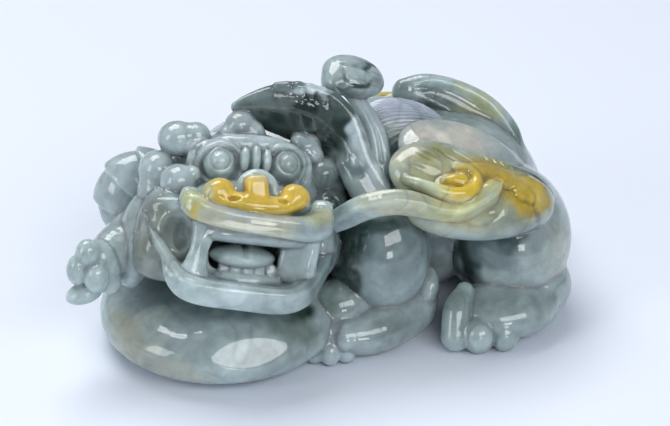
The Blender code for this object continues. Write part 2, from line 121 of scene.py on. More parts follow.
def smooth_path(points, steps=6):
    """A Catmull-Rom curve through the points; any further columns are carried along."""
    p = np.asarray(points, float)
    p = np.vstack([2 * p[0] - p[1], p, 2 * p[-1] - p[-2]])
    t = np.linspace(0, 1, steps, endpoint=False)[:, None]
    out = []
    for a, b, c, d in zip(p[:-3], p[1:-2], p[2:-1], p[3:]):
        out.append(0.5 * (2 * b + (c - a) * t + (2 * a - 5 * b + 4 * c - d) * t ** 2
                          + (3 * b - a - 3 * c + d) * t ** 3))
    return np.vstack(out + [p[-2][None]])


def nearest_on(path, points):
    """For each point: distance to the path, the place on it and the segment's number."""
    best = np.full(len(points), 1e9)
    where = np.zeros(len(points))
    for i, (a, b) in enumerate(zip(path[:-1, :3], path[1:, :3])):
        run = b - a
        t = np.clip((points - a) @ run / (run @ run + 1e-12), 0, 1)
        gap = ((points - a - t[:, None] * run) ** 2).sum(1)
        closer = gap < best
        best[closer] = gap[closer]
        where[closer] = i + t[closer]
    return np.sqrt(best), where


def rope(points, section=(1.0, 1.0), up=(0, 0, 1), steps=5, power=2):
    """A sweep: points are (x, y, z, size), the section is across by up, times the size."""
    path = smooth_path(points, steps)
    centre = path[:, :3]
    size = np.maximum(path[:, 3], 0.05)
    tangent = np.gradient(centre, axis=0)
    tangent /= np.linalg.norm(tangent, axis=1)[:, None] + 1e-9
    side = np.cross(tangent, np.asarray(up, float))
    side /= np.linalg.norm(side, axis=1)[:, None] + 1e-9
    rise = np.cross(side, tangent)
    wide, tall = section

    def field(points_in):
        _, where = nearest_on(path, points_in)
        low = np.minimum(where.astype(int), len(path) - 2)
        t = (where - low)[:, None]

        def along(table):
            return table[low] * (1 - t) + table[low + 1] * t

        off = points_in - along(centre)
        s = along(size[:, None])[:, 0]
        q = np.stack([(off * along(side)).sum(1), (off * along(rise)).sum(1),
                      (off * along(tangent)).sum(1)], 1)
        return egg_distance(q, np.stack([wide * s, tall * s, min(wide, tall) * s], 1), power)

    reach = max(wide, tall) * size.max()
    return Shape(field, centre.min(0) - reach, centre.max(0) + reach)


def soft_min(a, b, k):
    h = np.maximum(k - np.abs(a - b), 0.0) / k
    return np.minimum(a, b) - h * h * k * 0.25


def join(k, *shapes):
    """Several lumps run together over about k millimetres."""

    def field(points):
        total = shapes[0](points)
        for shape in shapes[1:]:
            total = soft_min(total, shape(points), k)
        return total

    return Shape(field, np.min([s.low for s in shapes], 0), np.max([s.high for s in shapes], 0))


def hollow(k, shape, *tools):
    """Scoops taken out of a shape, with edges rounded over about k millimetres."""

    def field(points):
        total = shape(points)
        for tool in tools:
            total = -soft_min(-total, tool(points), k)
        return total

    return Shape(field, shape.low, shape.high)


def line(shape, points, width, depth, steps=5):
    """An engraved line along a path; a negative depth raises a ridge.

    A point's fourth number, where it has one, scales the line there.
    """
    path = smooth_path(points, steps)
    low = path[:, :3].min(0) - 3 * width
    high = path[:, :3].max(0) + 3 * width

    def field(points_in):
        total = shape(points_in)
        near = ((points_in > low) & (points_in < high)).all(1) & (np.abs(total) < 3.0)
        if near.any():
            gap, where = nearest_on(path, points_in[near])
            size = 1.0
            if path.shape[1] > 3:
                size = np.maximum(np.interp(where, np.arange(len(path)), path[:, 3]), 0.05)
            total[near] += depth * size * np.exp(-(gap / (width * size)) ** 2)
        return total

    grow = max(0.0, -depth)
    return Shape(field, shape.low - grow, shape.high + grow)


def lines(shape, paths, width, depth, steps=5):
    for path in paths:
        shape = line(shape, path, width, depth, steps)
    return shape


def relief(shape, pattern, grow=0.5):
    """A shape whose surface is lowered by a pattern of place, in millimetres."""
    return Shape(lambda points: shape(points) + pattern(points), shape.low - grow,
                 shape.high + grow)


def mirrored(shape, middle, drop=0.0):
    """The same shape on the far side of the plane y = middle, set lower by drop."""

    def field(points):
        q = points * [1, -1, 1] + [0, 2 * middle, drop]
        return shape(q)

    low = [shape.low[0], 2 * middle - shape.high[1], shape.low[2] - drop]
    high = [shape.high[0], 2 * middle - shape.low[1], shape.high[2] - drop]
    return Shape(field, low, high)


def in_head(shape):
    """A shape given in the head's own axes: right, back, up."""
    corners = np.array(list(itertools.product(*zip(shape.low, shape.high))))
    corners = corners @ HEAD_AXES.T + HEAD_CENTRE
    return Shape(lambda points: shape((points - HEAD_CENTRE) @ HEAD_AXES),
                 corners.min(0), corners.max(0))


def bump(value, centre, width):
    return np.exp(-((value - centre) / width) ** 2)


def smooth_step(value, low, high):
    t = np.clip((value - low) / (high - low), 0, 1)
    return t * t * (3 - 2 * t)


def swirled(shape, x, z, pitch, size, depth, beyond):
    """A spiral groove round an axis along Y, cut only on the far side of y = beyond."""

    def spiral(points):
        across, up = points[:, 0] - x, points[:, 2] - z
        reach = np.hypot(across, up)
        phase = (reach / pitch - np.arctan2(up, across) / (2 * math.pi)) % 1.0 - 0.5
        shown = (1 - smooth_step(reach, size - 1.2, size)) \
            * smooth_step(points[:, 1], beyond, beyond + 2)
        return -depth * bump(phase, 0, 0.14) * shown * smooth_step(reach, 0.6, 1.4)

    return relief(shape, spiral)


# ---------------- the carved elements

def disc_shape():
    """A thick coin with a full round edge and one broad facet polished on its front."""

    def field(points):
        q = points - DISC_CENTRE
        radius = np.hypot(q[:, 0], q[:, 1])
        z = q[:, 2]
        bulge = 1 - ((z - 5.8) / 6.6) ** 2 * 0.17
        flat = np.maximum(z - DISC_HEIGHT, -z)
        wall = radius - DISC_RADIUS * bulge
        round_edge = 5
        a = np.maximum(wall + round_edge, 0)
        b = np.maximum(flat + round_edge, 0)
        body = np.minimum(np.maximum(wall, flat) + round_edge, 0) + np.hypot(a, b) - round_edge
        facet = q @ np.array([0.030, -0.775, 0.631]) - 21.8
        return -soft_min(-body, -facet, 0.3)

    low = DISC_CENTRE + [-DISC_RADIUS, -DISC_RADIUS, 0]
    high = DISC_CENTRE + [DISC_RADIUS, DISC_RADIUS, DISC_HEIGHT]
    return Shape(field, low, high)


def eye_shape(centre, outward):
    """A small ball set in two raised rings."""
    axis = np.asarray(outward, float)
    axis /= np.linalg.norm(axis)
    body = join(1, ball(centre, 3.05), ball(centre + axis * 1.75, 1.75))

    def rings(points):
        q = points - centre
        along = q @ axis
        radius = np.sqrt(np.maximum((q ** 2).sum(1) - along ** 2, 0))
        return np.where(along > -0.5, 0.2 * bump(radius, 1.75, 0.3) - 0.1 * bump(radius, 2.4, 0.3), 0)

    return relief(body, rings)


def skull_shape():
    """The forehead and brow, with a ring round each eye, over the open mouth."""
    core = join(4, ball((0, 4, 1.6), (15.4, 13, 11.8)), ball((0, -2.2, -11.6), (14.4, 10.2, 6)))
    brow = rope([(-10.4, -4.2, 5.2, 0.6), (-9.6, -5.6, 8.4, 0.9), (-6.2, -6.6, 10.1, 1),
                 (-2, -6.8, 10.8, 1), (2.4, -6.8, 10.8, 1), (6.6, -6.2, 10.2, 1),
                 (9.8, -5, 8.4, 0.85), (10.8, -4, 5.2, 0.6)], section=(2, 1.7))
    dome = ball((0, -1, 8), (11.4, 7.6, 5))
    mouth = ball((-0.7, -12, -9.2), (6.5, 12, 3.3), power=4)

    def sockets(points):
        total = np.zeros(len(points))
        for eye in (EYE_LEFT, EYE_RIGHT):
            radius = np.linalg.norm((points - eye)[:, [0, 2]], axis=1)
            total += (0.2 * bump(radius, 3.2, 0.4) - 0.2 * bump(radius, 3.9, 0.45)
                      + 0.25 * bump(radius, 4.6, 0.4))
        hair = 0.22 * np.sin(points[:, 0] * 2.6 + 0.8 * np.sin(points[:, 2] * 0.5))
        return total * (points[:, 1] < 0) * (points[:, 2] > 2) + hair * smooth_step(points[:, 1], 3, 6)

    return hollow(0.8, relief(join(1.4, core, dome, brow), sockets), mouth)


def nose_shape():
    """Two round wings and a square bridge on one low bar."""
    wings = join(1.2, ball((-7, -14.5, 1.7), (3, 2.7, 2.5), (0, -24, 0)),
                 ball((7.1, -14.5, 1.9), (2.7, 2.6, 2.2), (0, 16, 0)))
    bar = rope([(-7.6, -14.8, 0.6, 0.8), (-4, -15.4, 0.1, 1), (-0.6, -15.8, -0.3, 1.1),
                (3.2, -15.7, -0.3, 1.05), (7, -15.1, 0.7, 0.8)], section=(2.2, 1.9))
    bridge = ball((-0.2, -14.9, 2.7), (2.05, 2.4, 2.5), (-8, -6, 0), power=4)
    nose = join(0.8, join(1, wings, bar), bridge)
    nostrils = [ball((x, -17.3, z), (1, 0.8, 0.5), (0, lean, 0))
                for x, z, lean in ((-4.4, 0.8, -12), (4.4, 0.9, 14))]
    nose = hollow(0.5, nose, *nostrils)
    nose = line(nose, [(-9.4, -16, 0.4), (-8.6, -17, 2.6), (-6.6, -17.2, 3.4)], 0.45, 0.28)
    return line(nose, [(9.3, -16, 1.2), (8.8, -16.8, 2.8), (7, -17, 3.2), (5.6, -17.2, 2.2)], 0.45, 0.3)


def lip_shape():
    """A thick wavy slab with a crisp lower edge and round ends."""
    slab = rope([(-11.6, -12.4, 0.4, 0.75), (-10.9, -14.2, -0.9, 1), (-8, -15.3, -2.2, 0.92),
                 (-4, -16.1, -3, 0.88), (0.5, -16.5, -3.4, 0.88), (5, -16.3, -3.7, 0.92),
                 (9, -15.2, -3.7, 1.05), (12, -13.2, -2.8, 1.15), (12.9, -11.2, -0.6, 0.85)],
                section=(2.3, 2.3), power=3)
    edge = [(-11.4, -15.2, -3), (-8, -17, -3.9), (-2.8, -17.9, -4.7), (2.6, -18, -5),
            (8.4, -17, -5.3), (12.4, -15, -4.3)]
    return line(line(slab, edge, 0.35, -0.25), [(x, y, z + 1.3) for x, y, z in edge], 0.9, 0.22)


def mouth_shapes():
    fang_right = rope([(-8.6, -13.2, -4.4, 1.25), (-9, -13.4, -6.6, 0.95), (-9.5, -13.5, -9, 0.85),
                       (-9.9, -13.4, -11.2, 1.05), (-10.2, -13, -13.6, 1.5)], section=(2, 1.25),
                      up=(0, 1, 0), steps=4)
    wall_left = join(1.2, ball((8.9, -11.6, -9), (3.3, 1.5, 4.9), (0, 8, -16), power=3),
                     rope([(11.4, -13.2, -5, 1), (11.2, -12.6, -8, 0.8), (10.6, -12.4, -11.4, 0.9)],
                          section=(1.5, 1.5)))
    tongue = line(ball((-0.8, -8.6, -9.6), (6, 5.8, 2.1), (6, 0, 0)),
                  [(-0.8, -14.4, -9.6), (-0.8, -11, -8.2), (-0.8, -5, -7.6)], 0.6, 0.35)
    row = [(-5.2, -10.9, -13.4, 0.9), (-2.5, -12.2, -13.6, 1), (1.8, -12.3, -13.8, 1),
           (5.2, -10.9, -13.8, 0.9)]
    teeth = join(0.35, rope(row, section=(1.3, 1.2)),
                 *[ball((x, -12 + 0.05 * x * x, -12), (0.95, 0.85, 1.3), power=4)
                   for x in (-4.4, -2.3, -0.2, 1.9, 4)])
    jaw = rope([(-18.9, -8.6, -3.2, 0.22), (-17.4, -10.8, -6.6, 0.3), (-15.2, -12.2, -10.2, 0.46),
                (-12.7, -12.8, -14.2, 0.9), (-9.4, -14.2, -16, 1), (-2, -14.8, -16.6, 1),
                (5.6, -14.4, -16.9, 1), (9.7, -12.9, -15.6, 0.97), (12.2, -10.4, -12.9, 0.9),
                (14.6, -7.4, -9.6, 0.75), (16, -4, -6.4, 0.5)], section=(2, 2.3), up=(0, -0.42, 1), power=4)
    rim = [(-16, -11.8, -8.8), (-12.8, -14, -12.2), (-9.2, -15.5, -13.9), (-2, -16.2, -14.6),
           (6.2, -15.8, -15), (10.2, -13.8, -13.4), (13.4, -9.8, -9.8)]
    jaw = line(line(jaw, rim, 0.4, -0.4), [(x, y - 0.4, z - 1.6) for x, y, z in rim], 1, 0.2)
    return {"fang_right": (fang_right, 0.26), "fang_left": (wall_left, 0.26), "tongue": (tongue, 0.28),
            "lower_teeth": (teeth, 0.22), "lower_jaw": (jaw, 0.26), "upper_lip": (lip_shape(), 0.25)}


def cheek_shapes():
    """The framed panel at the corner of the mouth, the jowl behind it, and the far cheek."""
    panel = ball((-14.4, -4.2, -6.6), (5.4, 7.4, 8.6), (0, 8, 0), power=3)
    frame_rim = rope([(-11.8, -11.4, -1.2, 0.8), (-15, -10.4, -0.9, 0.9), (-18, -8.2, -1.7, 0.9),
                      (-19, -6.6, -4.4, 0.8), (-18.9, -6.4, -9, 0.7), (-17.2, -7.6, -13.4, 0.7)],
                     section=(1.3, 1.3))
    cheek_right = hollow(0.8, join(1, panel, frame_rim), ball((-13, -14.6, -5.6), (4.4, 4.6, 4.2)),
                         ball((-12.2, -11.4, -6.6), (1.75, 3.4, 2.7)))
    jowl = line(ball((-18.9, 0.2, -8.2), (3.7, 6.4, 9), (0, 6, 0)),
                [(-20.6, -4, -2), (-22, -4.6, -7), (-21, -5, -13)], 0.7, 0.5)
    cheek_left = line(ball((14, -0.6, -5.6), (4.4, 8.4, 7.8), (0, -8, 0)),
                      [(15, -8.2, -1), (17, -6.4, -4.4), (17, -5.4, -8)], 0.6, 0.45)
    return {"cheek_right": (cheek_right, 0.3), "jowl_right": (jowl, 0.32), "cheek_left": (cheek_left, 0.32)}


def curl_shapes():
    """Round locks and knobs about the head."""
    spiral = []
    for step in range(9):
        angle = math.radians(200 - 42 * step)
        reach = 3.1 - 0.26 * step
        spiral.append((15.6 + reach * math.cos(angle), -4.6 + 0.03 * step, 0.2 + reach * math.sin(angle)))
    curl_left = line(ball((15.9, 0.2, 0.4), (3.8, 5.2, 4.3)), spiral, 0.42, 0.5)
    return {
        "crown_knob": (join(0.8, ball((-1.7, -1.6, 14.2), (2.9, 2.7, 2.7)),
                            ball((0.8, -1.6, 13.2), (2.2, 2.4, 2)),
                            ball((-3.8, -1.4, 12.6), (2, 2.2, 1.6))), 0.28),
        "side_knob": (join(0.6, ball((11, -1.6, 11.2), (2.6, 2.4, 2.4)),
                           ball((12.3, -2, 9.9), (2, 1.9, 1.7)),
                           ball((9.6, -1.4, 12.4), (1.6, 1.6, 1.4))), 0.26),
        "curl_right_upper": (join(0.8, ball((-13.1, -2, 10.9), (3.7, 3.5, 3.3)),
                                  ball((-9.9, -2.6, 11.9), (2.6, 2.8, 2.3)),
                                  ball((-9.2, -4.6, 9), (2.3, 2.6, 2.2))), 0.28),
        "curl_right_middle": (join(0.9, ball((-16.5, -1.6, 4.9), (3.4, 4, 3.6)),
                                   ball((-16.9, -1.4, 1.4), (2.9, 3.8, 3.2))), 0.28),
        "curl_right_lower": (join(0.6, ball((-13.1, -6.4, 3), (3.3, 3.4, 3.3)),
                                  ball((-10.6, -6.2, 4.6), (1.6, 2.4, 1.6))), 0.26),
        "curl_left_upper": (join(0.7, ball((14.6, -0.6, 6.4), (3.2, 3.9, 3.3)),
                                 ball((16.8, 0.4, 4.4), (2.4, 3, 2.3))), 0.28),
        "curl_left_lower": (curl_left, 0.27),
    }


def head_shapes():
    folds = join(0.35, *[ball((x, y, z), (0.95, 1.6, tall), (-8, 0, 0))
                         for x, y, z, tall in ((-1.6, -8.7, 8, 2.2), (0.4, -8.9, 8.2, 2.4),
                                               (2.4, -8.7, 7.9, 2.2))])
    arch = rope([(-3, -13.2, 2.4, 0.7), (-2, -13, 4.4, 0.9), (0.3, -13, 5.3, 1),
                 (2.6, -13, 4.3, 0.9), (3.6, -13.2, 2.4, 0.7)], section=(1.1, 1.1))
    gum = ball((0.2, -10.8, -5), (10.4, 4.3, 2.4), (0, 2, 0), power=4)
    muzzle = join(1.2, ball((0, -7.4, -0.2), (12, 7.4, 4.6)), gum, arch)
    shapes = {
        "nose": (nose_shape(), 0.22), "brow_folds": (folds, 0.2), "muzzle": (muzzle, 0.28),
        "eye_left": (eye_shape(EYE_LEFT, (0.14, -0.95, 0.25)), 0.19),
        "eye_right": (eye_shape(EYE_RIGHT, (-0.12, -0.95, 0.27)), 0.19),
        "skull": (skull_shape(), 0.3),
    }
    for group in (mouth_shapes(), cheek_shapes(), curl_shapes()):
        shapes.update(group)
    return shapes


def back_shapes():
    """The leaf and the fungus carried on the back."""
    cap = join(0.8, ball((7, 2, 44.9), (6.2, 5, 3.3), (12, 20, 0)), ball((2.9, 0.4, 45), (2.4, 3.2, 2.7)))
    cap = lines(cap, [[(3.6, 1.6, 48, 0.4), (6.4, 0.2, 48.2, 1), (9.4, 0.2, 46.8, 1),
                       (12.4, 0.8, 44.8, 0.4)],
                      [(5.6, 3.6, 48.4, 0.4), (9, 2.6, 47.6, 1), (12.6, 2.8, 45.2, 0.5)],
                      [(6.4, -2.2, 46.8, 0.5), (8.8, -2.2, 45.4, 1), (11.4, -1.4, 43.6, 0.4)],
                      [(2.6, -2.4, 45.4, 0.6), (3.8, -2.6, 44, 1), (5, -2.4, 42.4, 0.6)],
                      [(4.6, 2, 48.2, 0.5), (4.4, -0.6, 47.4, 1), (4.8, -2.4, 46.2, 0.6)]], 0.45, 0.42)
    stem = rope([(6, 0.2, 44, 1), (7, -0.6, 41.4, 0.9), (9, -1.8, 38, 0.9),
                 (10.2, -4, 34.4, 0.95), (10.2, -6.6, 30, 1.1), (9.4, -8.6, 26, 1)],
                section=(1.9, 1.5), power=3)
    stem = line(stem, [(6.6, -1.8, 43), (8.6, -2.8, 39), (10, -4.8, 35.4), (10.2, -7.6, 31.4)], 0.4, 0.3)
    leaf = rope([(-16.8, -2, 43.6, 0.15), (-14.4, -1.8, 43.2, 0.45), (-10, -1.8, 42.4, 0.85),
                 (-5, -2.2, 41.2, 1.08), (-0.4, -3.6, 38.8, 1.1), (2.8, -6.4, 35.6, 1),
                 (4.6, -9.4, 32, 0.85), (5.4, -12.2, 28.4, 0.6)], section=(2.8, 5.4))
    edge = rope([(-8.6, -2.4, 47, 0.5), (-5, -3.2, 46.8, 0.75), (-1, -4, 45.6, 0.85),
                 (2, -5.2, 44.1, 0.85), (4.4, -7.6, 41.2, 0.85), (5.6, -9.8, 37.6, 0.85),
                 (6.2, -11.6, 34.6, 1.05), (7.4, -13.6, 31.8, 1.2), (8.8, -15.4, 28.6, 1.1),
                 (9.6, -16.4, 26, 0.6)], section=(1.35, 1.35))
    skirt = rope([(3.4, -9.8, 33, 0.8), (5, -12, 30.4, 1), (6.8, -14.2, 27.4, 1)], section=(3.4, 3))
    leaf = join(1, leaf, edge, skirt)
    flutes = []
    for step in range(6):
        top = np.array([-12 + 2.3 * step, -4 - 0.08 * step ** 2, 45.4 - 0.1 * step ** 2, 0.4])
        flutes.append([top + [0.4, -0.6, -2.6, -0.2], top + [0.9, -0.9, -4.2, 0.6],
                       top + [1.7, -1.2, -6.6, 0]])
    leaf = lines(leaf, flutes, 0.8, 0.22)
    notches = [[(x + 0.4, y + 1.6, z + 0.9), (x, y, z), (x - 0.2, y - 1.2, z - 1.4)]
               for x, y, z in ((-6, -3.6, 47.3), (-3.7, -4.3, 46.4), (-1.7, -4.8, 45.6), (0.4, -5.3, 44.8))]
    leaf = lines(leaf, notches, 0.4, 0.55)
    fold = [(2.2, -9.4, 37.8, 0.5), (3.2, -11.4, 34.6, 1), (4.6, -13.2, 31.8, 1), (7.4, -14.8, 29.6, 0.5)]
    leaf = line(line(leaf, fold, 0.5, -0.55),
                [(x + 1.5, y + 0.2, z + 0.6, size) for x, y, z, size in fold], 0.8, 0.6)
    return {"lingzhi_cap": (cap, 0.24), "lingzhi_stem": (stem, 0.26), "leaf_crest": (leaf, 0.24)}


def wing_main_shape():
    """The big left lobe with its teardrop groove, and the feathered edge that runs on to the tip."""
    lobe = ball((18.6, -15.4, 31.6), (9.4, 6.6, 4.1), (38, 16, -4))
    edge = rope([(19, -12.6, 33.2, 0.9), (23.4, -13, 32.4, 1), (28, -13.4, 30.6, 1),
                 (32.4, -13.6, 28.4, 1), (36.6, -14.4, 26.4, 0.95), (39.4, -16.6, 24.4, 0.75)],
                section=(2.9, 2.3), power=3)
    main = join(1, lobe, edge)
    main = line(main, [(11.6, -16.4, 35.8, 0.25), (13.6, -17.8, 35.2, 0.7), (16.4, -19.6, 34.2, 1),
                       (19.2, -21.2, 33.4, 1), (21.6, -22, 32.8, 0.6)], 1.05, 0.95)
    feathers = [
        [(15.4, -12, 36.6, 0.3), (18, -14, 36.6, 1), (21, -16.4, 35.2, 1), (24.6, -17.2, 33.4, 0.4)],
        [(15, -14.2, 36.8, 0.3), (17, -15.8, 36.4, 1), (19, -17.2, 35.4, 0.4)],
        [(13.6, -14.4, 36.6, 0.3), (15.6, -16, 36.2, 0.9), (17.4, -17.4, 35.4, 0.3)],
        [(19, -12.4, 36.2, 0.3), (22, -14.4, 35.4, 1), (25.4, -16, 33.6, 0.4)],
        [(22.6, -12.2, 35.2, 0.3), (25, -13.8, 34, 1), (27.4, -15.6, 32.4, 0.4)],
        [(25.8, -12.4, 33.8, 0.3), (27.6, -13.8, 32.8, 1), (29.2, -15.4, 31.2, 0.4)]]
    for x, y, z in ((28.6, -13.2, 32.6), (30.2, -13.4, 31.8), (31.8, -13.4, 30.9), (33.6, -13.6, 29.9),
                    (35.2, -13.8, 28.9), (36.6, -14.4, 28), (37.8, -15.2, 27.2)):
        feathers.append([(x - 0.2, y + 0.8, z + 0.3, 0.5), (x, y - 0.5, z, 1),
                         (x + 0.2, y - 1.9, z - 1, 0.4)])
    return lines(main, feathers, 0.34, 0.34, 3)


def wing_shapes():
    ribbon = rope([(-3.2, -17, 24.2, 0.6), (-0.4, -18.8, 26.8, 0.85), (3.8, -21, 30, 0.95),
                   (8.6, -22.5, 31.1, 0.95), (12.6, -23.4, 30.4, 0.9), (16.6, -24.4, 29.1, 0.72),
                   (20.6, -24.6, 28.5, 0.66), (24, -23.6, 29.2, 0.8), (26.8, -21.8, 29.8, 1),
                   (28.6, -19.8, 30, 0.7)], section=(1.7, 2.8), up=(0, -0.5, 1), power=4)
    ribbon = line(ribbon, [(0.8, -21.4, 30.2, 0.5), (4.6, -22.6, 32, 1), (9.4, -24, 32.2, 1),
                           (13.4, -25, 31.2, 1), (17, -25.8, 29.8, 0.5)], 0.6, 0.28)
    band = rope([(11.6, -18.6, 33.4, 0.5), (13.6, -20.6, 33.1, 0.8), (16.6, -22.6, 32.3, 0.95),
                 (20, -23.6, 31.5, 1), (23, -22.9, 31.5, 1), (24.4, -20.9, 32.2, 0.95),
                 (23.6, -18.9, 33.4, 0.85), (21.4, -17.9, 34.4, 0.6)], section=(1.35, 1.6))
    hook = rope([(18.6, -20.4, 33.2, 0.5), (20.2, -20.7, 33.2, 0.85), (21.8, -21, 32.7, 1)],
                section=(1.3, 1.3))
    scroll = join(0.5, ball((20.2, -20.2, 30.8), (4.2, 3.6, 2.4), (36, 8, 0)), band, hook)
    main = wing_main_shape()
    quill = rope([(22.8, -18.8, 32.6, 0.8), (26, -18, 31.6, 1), (29.6, -17, 29.9, 1),
                  (33, -16.8, 28.2, 0.8)], section=(2.3, 2.3))
    quill = lines(quill, [[(23.4, -17.8, 34.8), (26.8, -17, 33.6), (30.2, -16.2, 31.6), (33.4, -16.2, 29.8)],
                          [(23.4, -20.2, 34), (26.8, -19.4, 32.8), (30.2, -18.4, 30.8)]], 0.4, -0.4)
    ring = [(31.6, -17.4, 29, 0.4), (33.6, -17.6, 28.9, 1), (35.4, -18.8, 28.3, 1), (36.2, -20.4, 27.3, 1),
            (35.4, -21.9, 26.4, 1), (33.6, -22.9, 26.2, 0.4)]
    tip = join(0.7, ball((34.8, -18.2, 25), (5.9, 5.2, 3.9), (38, 14, -8)), quill)
    tip = join(0.5, line(tip, ring, 0.45, 0.5), ball((32.9, -20.3, 27), (1.7, 1.6, 1.5)))
    lower = ball((24.6, -20.4, 25.4), (13.2, 5.2, 4.2), (44, 8, -2))
    lower = lines(lower, [[(20, -25, 26.6, 0.3), (24.4, -25.4, 25.6, 1), (28, -24.6, 26.8, 0.9),
                           (29.6, -23.4, 28.2, 0.3)],
                          [(31, -25, 23.4, 0.3), (34.4, -24.2, 23.6, 1), (37.4, -22.4, 24.2, 0.3)]],
                  0.5, 0.35)
    upper = ball((26, -7.4, 29.6), (14, 8.6, 4.3), (24, 24, 4))
    upper = lines(upper, [[(22.6, -6.6, 36.2, 0.3), (26.6, -9.6, 34.2, 1), (29.4, -12.4, 31.6, 0.5)],
                          [(25.8, -5.6, 35.4, 0.3), (29, -8.4, 33.2, 1), (31.2, -11, 30.6, 0.5)],
                          [(15.2, -7.6, 35.6, 0.4), (19.6, -10.4, 35.8, 1), (24, -12, 34.4, 0.5)]],
                  0.35, 0.22)
    tail = rope([(19.4, 11.4, 35.4, 0.7), (22.4, 10.8, 35.4, 0.9), (26.8, 9.8, 34.2, 1.05),
                 (31.2, 8.2, 31.6, 1.15), (35.4, 5.8, 28.4, 1.15), (38.2, 2.8, 24.8, 1),
                 (39.4, 0.4, 21.4, 0.7)], section=(3, 3.7))
    rim = rope([(19.4, 11, 37, 0.8), (24, 10.6, 37.4, 1), (30, 9.4, 35.8, 1),
                (35.4, 7.4, 32.8, 1.05), (39.2, 4.6, 28.6, 1), (40.6, 2.2, 24.8, 0.7)],
               section=(1.7, 1.7))
    dish = rope([(20.6, 7.6, 37.6, 0.45), (25, 6.2, 37.8, 0.9), (29.6, 4.8, 36, 1),
                 (34, 2.8, 32.8, 1), (37.4, 0.4, 28.6, 0.7)], section=(3.2, 3.4))
    tail = hollow(0.7, join(0.8, tail, rim), dish)
    tail = line(tail, [(22.6, 8.6, 37, 0.5), (25.6, 7.8, 37, 1), (28.6, 7, 36.2, 1), (29.4, 5.4, 34.6, 0.5)],
                0.5, -0.5)
    return {
        "wing_left_ribbon": (ribbon, 0.24), "wing_left_scroll": (scroll, 0.22), "wing_left_tip": (tip, 0.24),
        "wing_left_main": (main, 0.23), "wing_left_lower": (lower, 0.28),
        "wing_left_upper": (upper, 0.28), "tail": (tail, 0.28), "spine_hair": (spine_hair_shape(), 0.26),
        "wing_right_main": (mirrored(join(0.5, main, scroll), 0.7, 4.4), 0.28),
        "wing_right_tip": (mirrored(join(0.5, tip, lower), 0.7, 4.4), 0.28),
    }


def spine_hair_shape():
    """A crest of hair along the back, combed in fine lines towards the tail."""
    hair = ball((17.2, 2.4, 32.6), (9, 8, 4.2), (6, 14, 0))

    def combed(points):
        across = points[:, 1] + 0.35 * points[:, 2] - 0.12 * points[:, 0] + 0.5 * np.sin(points[:, 0] * 0.35)
        return 0.13 * np.sin(across * (2 * math.pi / 1.05)) * smooth_step(points[:, 2], 29, 32)

    return relief(hair, combed)


